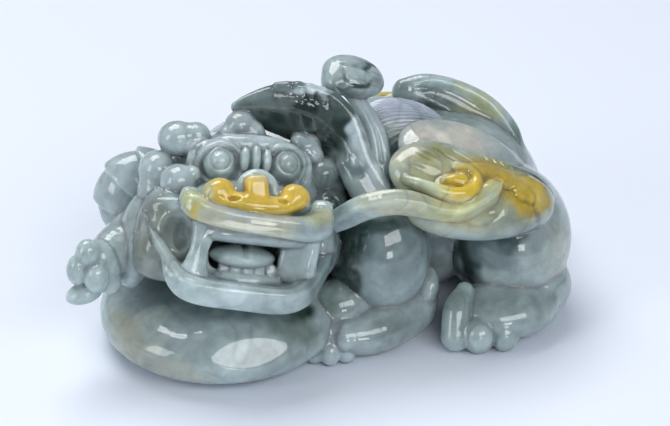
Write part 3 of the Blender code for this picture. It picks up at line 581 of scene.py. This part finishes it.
def body_shapes():
    paw_left = join(0.6, ball((-2.4, -22.4, 4.4), (4.8, 4.2, 3.9)),
                    ball((-0.4, -18.4, 8), (6.4, 5.4, 5)), ball((-7.4, -22, 5.2), (2, 2.1, 1.8)),
                    *[ball(c, (2, 2.4, 2.5)) for c in ((-7, -24.2, 2.5), (-4.4, -25.6, 2.5),
                                                         (-1.3, -25.4, 2.5))])
    forearm_left = rope([(-1, -23.4, 4.4, 0.85), (4.2, -22.8, 4.3, 1), (9, -20.8, 4.5, 1.05),
                         (13.4, -18, 5.2, 1), (16.4, -14.8, 7.2, 0.7)], section=(5, 4.3))
    paw_right = join(0.35, ball((-45, -15.4, 21.2), (4, 3.8, 5.2)), ball((-47, -16.9, 25), (2.3, 2.3, 2.8)),
                     ball((-49, -17.2, 22), (2.1, 2.2, 3)), ball((-46, -19, 21), (2.3, 2.3, 3)),
                     ball((-48.2, -17.9, 17.5), (3.5, 2.4, 1.9), (0, -14, 0)),
                     ball((-43.3, -17, 18.6), (2.1, 2.2, 2.3)))
    forearm_right = rope([(-44.6, -15, 21.8, 0.8), (-41, -11.6, 21.8, 1), (-36.4, -4.6, 20, 1.15),
                          (-30, 4, 18.4, 1.3), (-22, 10, 17.4, 1.2)], section=(4.4, 5))
    hind_left = join(0.5, ball((31.2, -22.4, 5.2), (10.2, 8.2, 5.1), (0, 0, 8)),
                     ball((38, -16.4, 6.2), (7.4, 8.6, 6.2)),
                     rope([(23, -20.8, 8.8, 0.7), (20.6, -24.2, 7.4, 1), (19.6, -27, 3.2, 1.1)],
                          section=(2.6, 2.6)),
                     ball((23.6, -28.2, 3.4), (3.1, 3.3, 3.4)), ball((28.6, -28.6, 3.1), (2.8, 3, 3.1)))

    def layered(points):
        turn = np.arctan2(points[:, 2] - 20, -27 - points[:, 0]) / 0.4 + 0.2
        ramp = turn % 1
        return 0.9 * ramp * (1 - smooth_step(ramp, 0.84, 1)) - 0.4

    fan = relief(ball((-33.2, 1.8, 24.8), (9.4, 6.4, 9.8), (0, -34, -8)), layered, 1)
    locks = join(0.8, ball((1.2, -8, 22), (4, 5, 5.4)), ball((1.4, -4.4, 27.6), (3.6, 5, 4.4)))

    def ribs(points):
        wave = np.sin((points[:, 0] + 0.5 * points[:, 2]) * (2 * math.pi / 6.4))
        shown = smooth_step(points[:, 1], 14, 19) * smooth_step(points[:, 0], -2, 3)
        return 0.5 * wave * shown * (1 - smooth_step(points[:, 0], 30, 35))

    torso = join(5, ball((-4, 8.4, 17.6), (23, 18.6, 17.4)), ball((18, 4.6, 17.4), (22, 17.6, 16.2)),
                 ball((29.4, 3.6, 16.6), (15.6, 18, 14.4)), ball((17.6, -3, 8.4), (8, 10, 6)))
    torso = relief(torso, ribs)
    shoulder_right = swirled(ball((-12.6, 15.6, 15.6), (14, 10.6, 13)),
                             x=-12.6, z=16, pitch=4.6, size=11, depth=1, beyond=18)
    haunch_right = swirled(ball((33.4, 13, 13.8), (13.2, 13.6, 12.8)),
                           x=34, z=13, pitch=4.4, size=10, depth=0.9, beyond=15)
    return {
        "paw_left": (paw_left, 0.28), "forearm_left": (forearm_left, 0.34),
        "elbow_tuft_left": (ball((16, -16.6, 8), (2.4, 4.4, 4.6), (24, 24, 0)), 0.3),
        "shoulder_left": (ball((8.2, -13.8, 15.8), (9.6, 10.8, 12.2), (0, 8, 0)), 0.4),
        "paw_right": (paw_right, 0.28), "forearm_right": (forearm_right, 0.4),
        "shoulder_right": (shoulder_right, 0.4),
        "hind_foot_left": (hind_left, 0.32), "hind_foot_right": (mirrored(hind_left, 0), 0.36),
        "haunch_left": (ball((34.6, -9.8, 13.8), (12.2, 14.8, 13.6)), 0.45),
        "haunch_right": (haunch_right, 0.42),
        "mane_right": (fan, 0.32), "mane_left": (locks, 0.32),
        "base_disc": (disc_shape(), 0.42), "torso": (torso, 0.5),
    }


def carved_elements():
    """Every element's field, in carving coordinates, and the step it is meshed at."""
    elements = {name: (in_head(shape), step) for name, (shape, step) in head_shapes().items()}
    for group in (back_shapes(), wing_shapes(), body_shapes()):
        elements.update(group)
    return elements


# ---------------- one skin, many pieces

ELEMENTS = carved_elements()
REACH = 2.6              # how far away, in mm, a neighbour still counts
OVERLAP = 0.25           # how far each piece runs on under its neighbours, mm
FAR = 12.0               # stands for a distance that wasn't worked out, mm


def skin(points, own=None):
    """The melted skin of the whole carving; with own, that element's share of it."""
    nearest_other = np.full(len(points), FAR)
    mine = np.full(len(points), FAR)
    weight = np.full(len(points), 1e-12)
    for name, (shape, _) in ELEMENTS.items():
        if name == own:
            near = np.ones(len(points), bool)
        else:
            near = ((points > shape.low - REACH) & (points < shape.high + REACH)).all(1)
        if not near.any():
            continue
        value = shape(points[near])
        weight[near] += np.exp(-np.clip(value / MELT, -200, 60))
        if name == own:
            mine = value
        else:
            nearest_other[near] = np.minimum(nearest_other[near], value)
    total = -MELT * np.log(weight)
    if own is None:
        return total
    return total + np.maximum(0.0, mine - nearest_other - OVERLAP)


def sample_block_field(field, low, counts, step):
    """Field values on a grid, worked out only in the blocks the surface passes through."""
    size = 5
    values = np.full(counts, 5.0, np.float32)
    blocks = [np.arange(0, n, size) for n in counts]
    starts = np.stack(np.meshgrid(*blocks, indexing='ij'), -1).reshape(-1, 3)
    centres = low + (starts + (size - 1) / 2.0) * step
    rough = field(centres)
    keep = np.abs(rough) < step * size * 1.5 + 0.6
    offsets = np.stack(np.meshgrid(*[np.arange(size)] * 3, indexing='ij'), -1).reshape(-1, 3)
    for start in starts[~keep & (rough < 0)]:
        values[start[0]:start[0] + size, start[1]:start[1] + size, start[2]:start[2] + size] = -5.0
    chosen = starts[keep]
    for part in np.array_split(chosen, max(1, len(chosen) * len(offsets) // 400000)):
        places = (part[:, None, :] + offsets[None]).reshape(-1, 3)
        places = places[(places < counts).all(1)]
        values[tuple(places.T)] = field(low + places * step)
    return values


def surface_net(values, low, step):
    """Quads over the zero level of a grid of values."""
    inside = values < 0
    nx, ny, nz = values.shape
    count = np.zeros((nx - 1, ny - 1, nz - 1), np.int8)
    corners = list(itertools.product((0, 1), repeat=3))
    for dx, dy, dz in corners:
        count += inside[dx:nx - 1 + dx, dy:ny - 1 + dy, dz:nz - 1 + dz]
    mixed = (count > 0) & (count < 8)
    cells = np.argwhere(mixed)
    index = np.full(mixed.shape, -1)
    index[mixed] = np.arange(len(cells))
    total = np.zeros((len(cells), 3))
    hits = np.zeros(len(cells))
    for a, b in itertools.combinations(corners, 2):
        if sum(abs(i - j) for i, j in zip(a, b)) != 1:
            continue
        va = values[tuple((cells + a).T)]
        vb = values[tuple((cells + b).T)]
        cross = (va < 0) != (vb < 0)
        t = (va[cross] / (va[cross] - vb[cross]))[:, None]
        total[cross] += np.array(a) + t * (np.array(b) - np.array(a))
        hits[cross] += 1
    verts = low + step * (cells + total / hits[:, None])
    quads = []
    for axis in range(3):
        u, v = (axis + 1) % 3, (axis + 2) % 3
        first = [slice(None)] * 3
        second = [slice(None)] * 3
        first[axis], second[axis] = slice(0, -1), slice(1, None)
        one, two = inside[tuple(first)], inside[tuple(second)]
        flips = np.argwhere(one != two)
        limit = np.array(values.shape) - 1
        flips = flips[(flips[:, u] > 0) & (flips[:, v] > 0) & (flips[:, u] < limit[u])
                      & (flips[:, v] < limit[v])]
        ring = []
        for du, dv in ((-1, -1), (0, -1), (0, 0), (-1, 0)):
            cell = flips.copy()
            cell[:, u] += du
            cell[:, v] += dv
            ring.append(index[tuple(cell.T)])
        ring = np.stack(ring, 1)
        outward = one[tuple(flips.T)]
        ring[~outward] = ring[~outward][:, ::-1]
        quads.append(ring)
    return verts, np.vstack(quads)


def value_and_slope(field, points, eps=0.05):
    value = field(points)
    grad = np.empty((len(points), 3))
    for k in range(3):
        step = np.zeros(3)
        step[k] = eps
        grad[:, k] = (field(points + step) - value) / eps
    return value, grad


def sculpt(name):
    """Mesh one element: its share of the skin, closed by its own hidden back."""
    shape, step = ELEMENTS[name]
    step *= ROUGH_STEP
    low = shape.low - 3 * step
    counts = tuple(np.ceil((shape.high + 3 * step - low) / step).astype(int) + 1)

    def field(points):
        return skin(points, own=name)

    values = sample_block_field(field, low, counts, step)
    verts, quads = surface_net(values, low, step)
    value, grad = value_and_slope(field, verts)
    move = value / np.maximum((grad ** 2).sum(1), 0.2)
    verts = verts - grad * np.clip(move, -0.5 * step, 0.5 * step)[:, None]
    _, normals = value_and_slope(field, verts)
    normals /= np.linalg.norm(normals, axis=1)[:, None] + 1e-9
    return verts, quads, normals


def make_piece(name, verts, quads, normals):
    mesh = bpy.data.meshes.new(name + "_jade")
    places = (verts + ORIGIN) * MM
    mesh.vertices.add(len(places))
    mesh.vertices.foreach_set("co", places.astype(np.float32).ravel())
    mesh.loops.add(len(quads) * 4)
    mesh.loops.foreach_set("vertex_index", quads.astype(np.int32).ravel())
    mesh.polygons.add(len(quads))
    mesh.polygons.foreach_set("loop_start", np.arange(0, len(quads) * 4, 4, dtype=np.int32))
    mesh.update(calc_edges=True)
    mesh.validate()
    mesh.shade_smooth()
    mesh.normals_split_custom_set_from_vertices([tuple(n) for n in normals])
    piece = bpy.data.objects.new(name + "_jade", mesh)
    bpy.context.scene.collection.objects.link(piece)
    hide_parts(name)
    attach(piece, "root")
    return piece


# ---------------- the stone's colours, with painted shade, glow and highlights

PALE = (0.35, 0.425, 0.43)
ICE = (0.43, 0.50, 0.53)
GREY = (0.165, 0.215, 0.215)
SLATE = (0.11, 0.165, 0.17)
DARK = (0.008, 0.026, 0.02)
PINE = (0.014, 0.038, 0.034)
MOSS = (0.07, 0.125, 0.085)
SMOKE = (0.20, 0.225, 0.185)
SAND = (0.43, 0.42, 0.31)
BLUSH = (0.52, 0.50, 0.44)
STRAW = (0.42, 0.43, 0.23)
OLIVE = (0.30, 0.30, 0.11)
GOLD = (0.50, 0.365, 0.035)
OCHRE = (0.40, 0.29, 0.05)
HONEY = (0.66, 0.45, 0.045)
LILAC = (0.36, 0.39, 0.48)
HAIR_SHEEN_MAUVE = (0.52, 0.57, 0.68)

# Clouds of colour in the stone, and a few rows of painted shade and painted sheen, each marked:
# colour, strength, middle, reach each way (mm), and, where the carver's cut ends a cloud, the
# only elements that show it.
COLOUR_CLOUDS_AND_SHADING = [
    (SMOKE, 0.7, (-36, -17, 28), (6.5, 8, 8), "cheek_right"),
    (SMOKE, 0.45, (-33, -20, 25), (6, 6, 5), None),
    (ICE, 0.6, (-18, -12, 41), (9, 6, 5), "skull"),
    (ICE, 0.4, (-40, -3, 30), (7, 7, 9), "mane_right"),
    (ICE, 0.45, (-29.5, -15, 35.5), (4, 4, 4), "curl_right_lower"),
    (SAND, 0.75, (-20, -25, 32), (14, 5, 4), "upper_lip"),
    (STRAW, 0.85, (-27.6, -23, 35), (3.6, 4, 3), "upper_lip"),
    (HONEY, 0.45, (-27.4, -23.6, 34.6), (1.6, 2.5, 1.2), "upper_lip"),
    (STRAW, 0.7, (-5.6, -24, 31), (3.4, 4, 3), "upper_lip"),
    (ICE, 0.5, (-20, -29, 20), (12, 5, 4), "lower_jaw"),
    (GREY, 0.75, (-18, -26, 15), (20, 9, 6), "lower_jaw"),
    (SLATE, 0.75, (-6, -24, 20), (5, 6, 7), "lower_jaw"),
    (PINE, 0.85, (-1, -15, 27), (4.5, 7, 9), "curl_left"),
    (SLATE, 0.9, (-2, -14, 24), (4, 8, 10), "cheek_left"),
    (DARK, 0.95, (0.5, -9, 25), (6, 8, 11), "mane_left"),
    # painted shade: the disc's top is darkened under the jaw
    (SLATE, 0.5, (-22, -20, 13), (16, 7, 3.5), "base_disc"),
    (SAND, 0.6, (-41, -20, 8), (7, 7, 5), "base_disc"),
    (SAND, 0.45, (-34, -28, 5), (8, 6, 4), "base_disc"),
    (DARK, 0.95, (-7.6, -24.6, 12), (5.4, 4, 3.4), None),
    (MOSS, 0.5, (-11, -28, 9), (5, 4, 4), "base_disc"),
    (DARK, 0.85, (-4, -4, 41), (17, 12, 10), "leaf_crest"),
    (DARK, 0.95, (-10, -4, 42.6), (3.6, 4, 3.4), "leaf_crest"),
    (DARK, 0.9, (-3.3, -5, 43.2), (1.8, 3, 2.6), "leaf_crest"),
    (DARK, 0.95, (-1, -7, 36), (5, 4, 4.4), "leaf_crest"),
    (DARK, 0.9, (2.8, -8.6, 39.6), (1.6, 3, 3), "leaf_crest"),
    (GREY, 0.7, (-12.8, -2.6, 46), (3, 3, 1.8), "leaf_crest"),
    (SLATE, 0.8, (4.4, -12.4, 33.4), (3.4, 3, 4.4), "leaf_crest"),
    # painted sheen: the next three rows lighten the leaf's raised top edge
    (ICE, 0.9, (-2, -4.4, 46.4), (8, 2.2, 1.1), "leaf_crest"),
    (ICE, 0.95, (5.6, -9.4, 38.6), (1.9, 5.4, 6.4), "leaf_crest"),
    (ICE, 0.9, (7.4, -14, 32), (2.2, 3.8, 4.4), "leaf_crest"),
    (ICE, 0.95, (8, -2, 40), (5, 6, 8), "lingzhi_stem"),
    (ICE, 0.6, (-18, -12, 41), (12, 10, 8), "crown_knob"),
    (ICE, 0.6, (-6, -10, 37), (6, 6, 6), "side_knob"),
    (ICE, 0.35, (-32, -10, 34), (12, 12, 12), "curl_right"),
    (GREY, 0.6, (4, -1, 44.6), (3, 4, 3), "lingzhi_cap"),
    (PINE, 0.9, (8.8, 0.6, 47), (4.4, 2.6, 0.9), "lingzhi_cap"),
    (PINE, 0.9, (8, -2.2, 45.3), (2.8, 1.6, 0.8), "lingzhi_cap"),
    (PINE, 0.8, (10.6, 2.2, 46.6), (3, 2, 0.9), "lingzhi_cap"),
    (GREY, 0.6, (11.6, -0.6, 43.4), (2.6, 3, 3), "lingzhi_cap"),
    (SLATE, 0.7, (8, 6, 45), (6, 4, 4), "lingzhi_cap"),
    (LILAC, 0.8, (17, 4, 35), (10, 8, 6), "spine_hair"),
    # painted sheen: the top of the back's hair is made lighter
    (HAIR_SHEEN_MAUVE, 0.9, (16, 7, 37), (10, 5, 4), "spine_hair"),
    (SMOKE, 0.5, (12.6, -3.4, 34), (3, 3, 3), "spine_hair"),
    (STRAW, 0.85, (22, -20, 30), (17, 9, 9), "wing_left"),
    (SAND, 0.7, (13, -14, 36), (6, 5, 4), "wing_left_main"),
    (OLIVE, 0.75, (19, -14.6, 36), (6, 4, 3), "wing_left_main"),
    (OCHRE, 0.85, (23.4, -17, 34), (5, 3.4, 2.6), "wing_left"),
    (OLIVE, 0.9, (30, -14, 31.4), (8, 4, 4), "wing_left"),
    (GOLD, 0.95, (21.4, -22, 32.4), (6, 4.6, 3.8), "wing_left"),
    (OCHRE, 0.97, (28, -18.4, 31.8), (9, 4.6, 4.4), "wing_left"),
    (GOLD, 0.95, (34.6, -20, 27.6), (6.4, 5, 4.6), "wing_left"),
    (MOSS, 0.8, (36, -13.4, 28.6), (5, 2.6, 2.4), "wing_left_main"),
    (DARK, 0.95, (39.4, -14.6, 26.6), (3.6, 3, 2.6), "wing_left"),
    (SMOKE, 0.6, (31, -26, 24), (8, 4, 3), "wing_left"),
    (SAND, 0.7, (8, -23, 31.6), (8, 4, 3), "wing_left_ribbon"),
    (STRAW, 0.8, (20, -24.6, 29.6), (7, 4, 3), "wing_left_ribbon"),
    (GREY, 0.6, (-1, -19, 27), (4, 5, 4), "wing_left_ribbon"),
    (OCHRE, 0.7, (20, -25.4, 27.4), (5.4, 3, 2.4), "wing_left_lower"),
    (BLUSH, 0.9, (24, -8, 34.6), (12, 7, 5), "wing_left_upper"),
    (GREY, 0.75, (22, 10, 35.6), (6, 5, 3), "tail"),
    (PINE, 0.7, (28, 6, 34), (8, 3.4, 3.6), "tail"),
    (MOSS, 0.5, (31, 5.4, 33.4), (4, 3.2, 3), "tail"),
    (STRAW, 0.65, (34, 7.4, 34.2), (7, 3.4, 3.6), "tail"),
    (MOSS, 0.6, (39.4, 2.6, 28), (3, 4, 3.4), "tail"),
    (SLATE, 0.7, (27, 3, 31), (8, 5, 4), "torso"),
    (SLATE, 0.8, (8, -18, 20), (11, 9, 9), "shoulder_left"),
    (DARK, 0.97, (1.2, -18, 22), (4.6, 6, 6), "shoulder_left"),
    (DARK, 0.9, (0.4, -19.6, 14.6), (3.8, 5, 5.4), "shoulder_left"),
    (PINE, 0.8, (6.4, -20.4, 25), (5.6, 3, 2.6), "shoulder_left"),
    (MOSS, 0.6, (-1, -20, 10), (4, 4, 4), "paw_left"),
    (DARK, 0.75, (-7.4, -21, 7), (3.4, 3, 3), "paw_left"),
    (ICE, 0.6, (-3, -26, 3), (6, 3, 3), "paw_left"),
    (GREY, 0.6, (8, -24, 5), (8, 4, 4), "forearm_left"),
    (LILAC, 0.35, (17, -10, 14), (5, 7, 8), "torso"),
    # painted shade: the next row darkens the belly to grey
    (GREY, 0.7, (17, -10, 14), (6, 8, 10), "torso"),
    # painted shade in the recess between the haunch and the belly
    (DARK, 0.95, (24.4, -16.4, 12.6), (3.6, 6, 7), "haunch_left"),
    (SLATE, 0.85, (29, -20.6, 18.4), (6.4, 5, 5.4), "haunch_left"),
    (PINE, 0.7, (31.6, -21.8, 20), (4.4, 3, 2.6), "haunch_left"),
    (SAND, 0.35, (40, -20, 15), (5, 6, 8), "haunch_left"),
    (GREY, 0.6, (30, -26, 7), (9, 5, 4), "hind_foot_left"),
    (MOSS, 0.4, (19.6, -24, 9.4), (3, 3, 3), "hind_foot_left"),
    (SLATE, 0.8, (6, 22, 22), (12, 9, 8), None),
    (PINE, 0.85, (12, 20, 13), (7, 7, 5), None),
    (DARK, 0.8, (-1, 24, 10), (5, 6, 4), None),
    (PINE, 0.8, (24, 20, 15), (4, 7, 6), None),
    (SLATE, 0.75, (30, 20, 26), (8, 7, 5), None),
    (SAND, 0.5, (39, 20, 12), (9, 9, 9), None),
    (ICE, 0.6, (-16, 24, 22), (9, 8, 7), None),
    (SLATE, 0.7, (-22, 20, 11), (6, 7, 6), None),
    (LILAC, 0.5, (-8, 14, 32), (12, 9, 6), None),
    (PINE, 0.7, (-20, 6, 30), (6, 6, 6), None),
    (MOSS, 0.6, (-28, 12, 8), (8, 6, 5), "base_disc"),
    (SAND, 0.5, (-8, 16, 6), (8, 6, 5), "base_disc"),
    (SLATE, 0.6, (-38, 2, 20), (5, 6, 5), "forearm_right"),
    (GREY, 0.6, (-34, 8, 24), (6, 5, 8), "mane_right"),
    (STRAW, 0.85, (22, 22, 27), (16, 9, 8), "wing_right"),
    (GOLD, 0.85, (22, 26, 28), (5, 4, 3.4), "wing_right"),
    (OLIVE, 0.9, (32, 22, 24), (8, 6, 5), "wing_right"),
    (MOSS, 0.8, (38, 18, 23), (5, 4, 4), "wing_right"),
    (SLATE, 0.6, (30, 27, 7), (9, 6, 5), "hind_foot_right"),
]


def drift(points, size, seed):
    """A smooth wandering value, about -1 to 1, from a few tilted waves."""
    dice = np.random.default_rng(seed)
    total = np.zeros(len(points))
    for _ in range(9):
        way = dice.normal(size=3)
        way /= np.linalg.norm(way)
        total += np.sin(points @ way * (2 * math.pi / size) * dice.uniform(0.6, 1.6)
                        + dice.uniform(0, 2 * math.pi))
    return total / 3.6


def blend_in(colour, tone, share):
    colour += (np.array(tone) - colour) * np.clip(share, 0, 1)[:, None]


def paint(name, points, normals):
    """Colour of the stone at each point of a piece, with painted shade in hollows, painted glow where the
    stone is thin and painted highlights.
    """
    colour = np.tile(np.array(PALE), (len(points), 1))
    wander = [drift(points, 9.0, seed) * 1.3 + drift(points, 3.2, seed + 5) * 0.5 for seed in (11, 12, 13)]
    warped = points + np.stack(wander, 1)
    for tone, strength, centre, reach, only in COLOUR_CLOUDS_AND_SHADING:
        if only is None or name.startswith(only):
            far = np.sqrt((((warped - centre) / reach) ** 2).sum(1))
            blend_in(colour, tone, strength * (1 - smooth_step(far, 0.45, 1.25)))
    if name == "nose":
        side = (points - HEAD_CENTRE) @ HEAD_AXES
        blend_in(colour, HONEY, np.full(len(points), 0.9))
        blend_in(colour, GOLD, 0.9 * smooth_step(drift(points, 5.0, 51) - side[:, 2] * 0.5, -1.4, 0.8))
        blend_in(colour, STRAW, 0.85 * smooth_step(-side[:, 0], 7.2, 9.0))
        # painted highlight: the top of the nose is blended towards sand
        blend_in(colour, SAND, 0.6 * smooth_step(side[:, 2], 3.6, 5.0))
    wisp = np.exp(-(drift(points, 11.0, 41) / 0.10) ** 2) * smooth_step(drift(points, 16.0, 42), -0.1, 0.7)
    blend_in(colour, SLATE, 0.35 * wisp)
    cotton = smooth_step(drift(points, 6.0, 43), 0.55, 1.2)
    colour *= (1 + 0.10 * drift(points, 14.0, 31) + 0.05 * drift(points, 4.0, 32) + 0.18 * cotton)[:, None]
    # painted glow: thin parts of the stone are made up to 22% lighter, as if light shone through them
    thinness_for_painted_glow = 1 - np.clip(-skin(points - normals * 3.0) / 3.0, 0, 1)
    colour *= (1 + 0.22 * smooth_step(thinness_for_painted_glow, 0.25, 0.9))[:, None]
    # painted shade: the colour is darkened by up to 22% where little open space lies outside the surface, in
    # creases and hollows
    openness_for_painted_shade = np.clip(skin(points + normals * 1.5) / 1.5, 0, 1)
    colour *= (0.78 + 0.22 * smooth_step(openness_for_painted_shade, 0.0, 0.8))[:, None]
    return np.clip(colour, 0.002, 0.9)


# ---------------- jade

def tuned(node, values):
    """Set a node's own sockets by name."""
    for socket, value in values.items():
        node.inputs[socket].default_value = value
    return node


def jade_material(slot, roughness, milkiness):
    """Polished jadeite: painted colour with painted shade, glow and highlights, fine fibrous mottling and a
    hand-polished skin.
    """
    material = bpy.data.materials.new(slot)
    material.use_nodes = True
    tree = material.node_tree
    nodes, links = tree.nodes, tree.links
    shader = nodes["Principled BSDF"]
    place = nodes.new("ShaderNodeTexCoord")
    clouds_and_shading = nodes.new("ShaderNodeAttribute")
    clouds_and_shading.attribute_name = "clouds_and_shading"

    def noise(values):
        node = tuned(nodes.new("ShaderNodeTexNoise"), values)
        links.new(place.outputs["Object"], node.inputs["Vector"])
        return node

    def ranged(source, values):
        node = tuned(nodes.new("ShaderNodeMapRange"), values)
        links.new(source.outputs["Fac"], node.inputs["Value"])
        return node

    fibre = noise({"Scale": 420.0, "Detail": 6.0, "Roughness": 0.62, "Distortion": 0.8})
    spread = ranged(fibre, {"From Min": 0.3, "From Max": 0.7, "To Min": 0.86, "To Max": 1.12})
    mottled = nodes.new("ShaderNodeVectorMath")
    mottled.operation = 'SCALE'
    links.new(clouds_and_shading.outputs["Color"], mottled.inputs[0])
    links.new(spread.outputs["Result"], mottled.inputs["Scale"])

    cotton = noise({"Scale": 170.0, "Detail": 3.0})
    floss = ranged(cotton, {"From Min": 0.56, "From Max": 0.78, "To Max": milkiness})
    whiten = nodes.new("ShaderNodeMix")
    whiten.data_type = 'RGBA'
    whiten.inputs["B"].default_value = (0.52, 0.60, 0.62, 1)
    links.new(floss.outputs["Result"], whiten.inputs["Factor"])
    links.new(mottled.outputs["Vector"], whiten.inputs["A"])
    links.new(whiten.outputs["Result"], shader.inputs["Base Color"])

    sheen = ranged(cotton, {"To Min": roughness * 0.75, "To Max": roughness * 1.35})
    links.new(sheen.outputs["Result"], shader.inputs["Roughness"])

    ripple = noise({"Scale": 260.0, "Detail": 2.0})
    skin_bump = tuned(nodes.new("ShaderNodeBump"), {"Strength": 0.12, "Distance": 0.0004})
    links.new(ripple.outputs["Fac"], skin_bump.inputs["Height"])
    links.new(skin_bump.outputs["Normal"], shader.inputs["Normal"])

    tuned(shader, {"IOR": 1.66, "Subsurface Weight": 1.0, "Subsurface Radius": (0.9, 1.0, 0.9),
                   "Subsurface Scale": 0.0035})
    return material


JADE_ROUGHNESS = 0.06
JADE_MILKINESS = 0.22    # how white the cotton-like wisps are
SLOTS = {entry["node"]: entry["material_slot"] for entry in frame["record"]["subparts"]}
FINISHES = {slot: jade_material(slot, JADE_ROUGHNESS, JADE_MILKINESS)
            for slot in sorted(set(SLOTS.values()))}


def finish_piece(name, verts, quads, normals, colour):
    piece = make_piece(name, verts, quads, normals)
    # the colour attribute holds the stone's colour together with painted shade in hollows, painted glow on
    # thin parts and painted highlights
    layer = piece.data.color_attributes.new("clouds_and_shading", 'FLOAT_COLOR', 'POINT')
    layer.data.foreach_set("color", np.column_stack([colour, np.ones(len(colour))])
                           .astype(np.float32).ravel())
    piece.data.materials.append(FINISHES[SLOTS[name]])


def carve_and_paint(name):
    verts, quads, normals = sculpt(name)
    return verts, quads, normals, paint(name, verts, normals)


with ThreadPoolExecutor(4) as pool:
    carved = list(pool.map(carve_and_paint, ELEMENTS))
for element, parts in zip(ELEMENTS, carved):
    finish_piece(element, *parts)


# ---------------- floor, light, camera

FLOOR_HALF = 3.0         # half the floor's side, m
CAMERA_AZIMUTH = math.radians(-14)
CAMERA_ELEVATION = math.radians(30)
CAMERA_DISTANCE = 0.420  # m
AIM = [3.0, 0.0, 17.0]   # the point looked at, in carving coordinates, mm


def look_at(obj, place, target):
    obj.location = place
    obj.rotation_euler = (Vector(target) - Vector(place)).to_track_quat('-Z', 'Y').to_euler()


def add_floor():
    mesh = bpy.data.meshes.new("floor")
    corners = [(-FLOOR_HALF, -FLOOR_HALF, 0), (FLOOR_HALF, -FLOOR_HALF, 0),
               (FLOOR_HALF, FLOOR_HALF, 0), (-FLOOR_HALF, FLOOR_HALF, 0)]
    mesh.from_pydata(corners, [], [(0, 1, 2, 3)])
    floor = bpy.data.objects.new("floor", mesh)
    bpy.context.scene.collection.objects.link(floor)
    pale = bpy.data.materials.new("floor_pale")
    pale.use_nodes = True
    tuned(pale.node_tree.nodes["Principled BSDF"],
          {"Base Color": (0.80, 0.85, 0.95, 1), "Roughness": 0.6})
    mesh.materials.append(pale)


def add_softbox(name, place, target, width, height, power):
    light = bpy.data.lights.new(name, 'AREA')
    light.shape = 'RECTANGLE'
    light.size = width
    light.size_y = height
    light.energy = power
    lamp = bpy.data.objects.new(name, light)
    bpy.context.scene.collection.objects.link(lamp)
    look_at(lamp, place, target)


def add_world():
    world = bpy.data.worlds.new("studio")
    world.use_nodes = True
    tuned(world.node_tree.nodes["Background"], {"Color": (0.80, 0.88, 1.0, 1), "Strength": 0.27})
    bpy.context.scene.world = world


def add_camera():
    target = Vector((ORIGIN + AIM) * MM)
    level = math.cos(CAMERA_ELEVATION)
    back = Vector((math.sin(CAMERA_AZIMUTH) * level, -math.cos(CAMERA_AZIMUTH) * level,
                   math.sin(CAMERA_ELEVATION)))
    camera = bpy.data.cameras.new("camera")
    camera.lens = 117
    camera.sensor_width = 36
    camera.clip_start = 0.01
    view = bpy.data.objects.new("camera", camera)
    bpy.context.scene.collection.objects.link(view)
    look_at(view, target + back * CAMERA_DISTANCE, target)
    bpy.context.scene.camera = view


add_floor()
add_world()
add_softbox("front_softbox", (0.11, -0.42, 0.36), (0, 0, 0.02), 0.42, 0.20, 1.1)
add_softbox("top_softbox", (-0.12, 0.38, 0.80), (0, 0.05, 0), 0.70, 0.50, 5.8)
add_softbox("window_softbox", (0.02, -0.62, 0.15), (0, 0, 0.02), 0.15, 0.11, 0.30)
add_softbox("left_softbox", (-0.50, -0.16, 0.26), (0, 0, 0.02), 0.20, 0.30, 0.6)
add_camera()
bpy.context.scene.view_settings.view_transform = 'Standard'
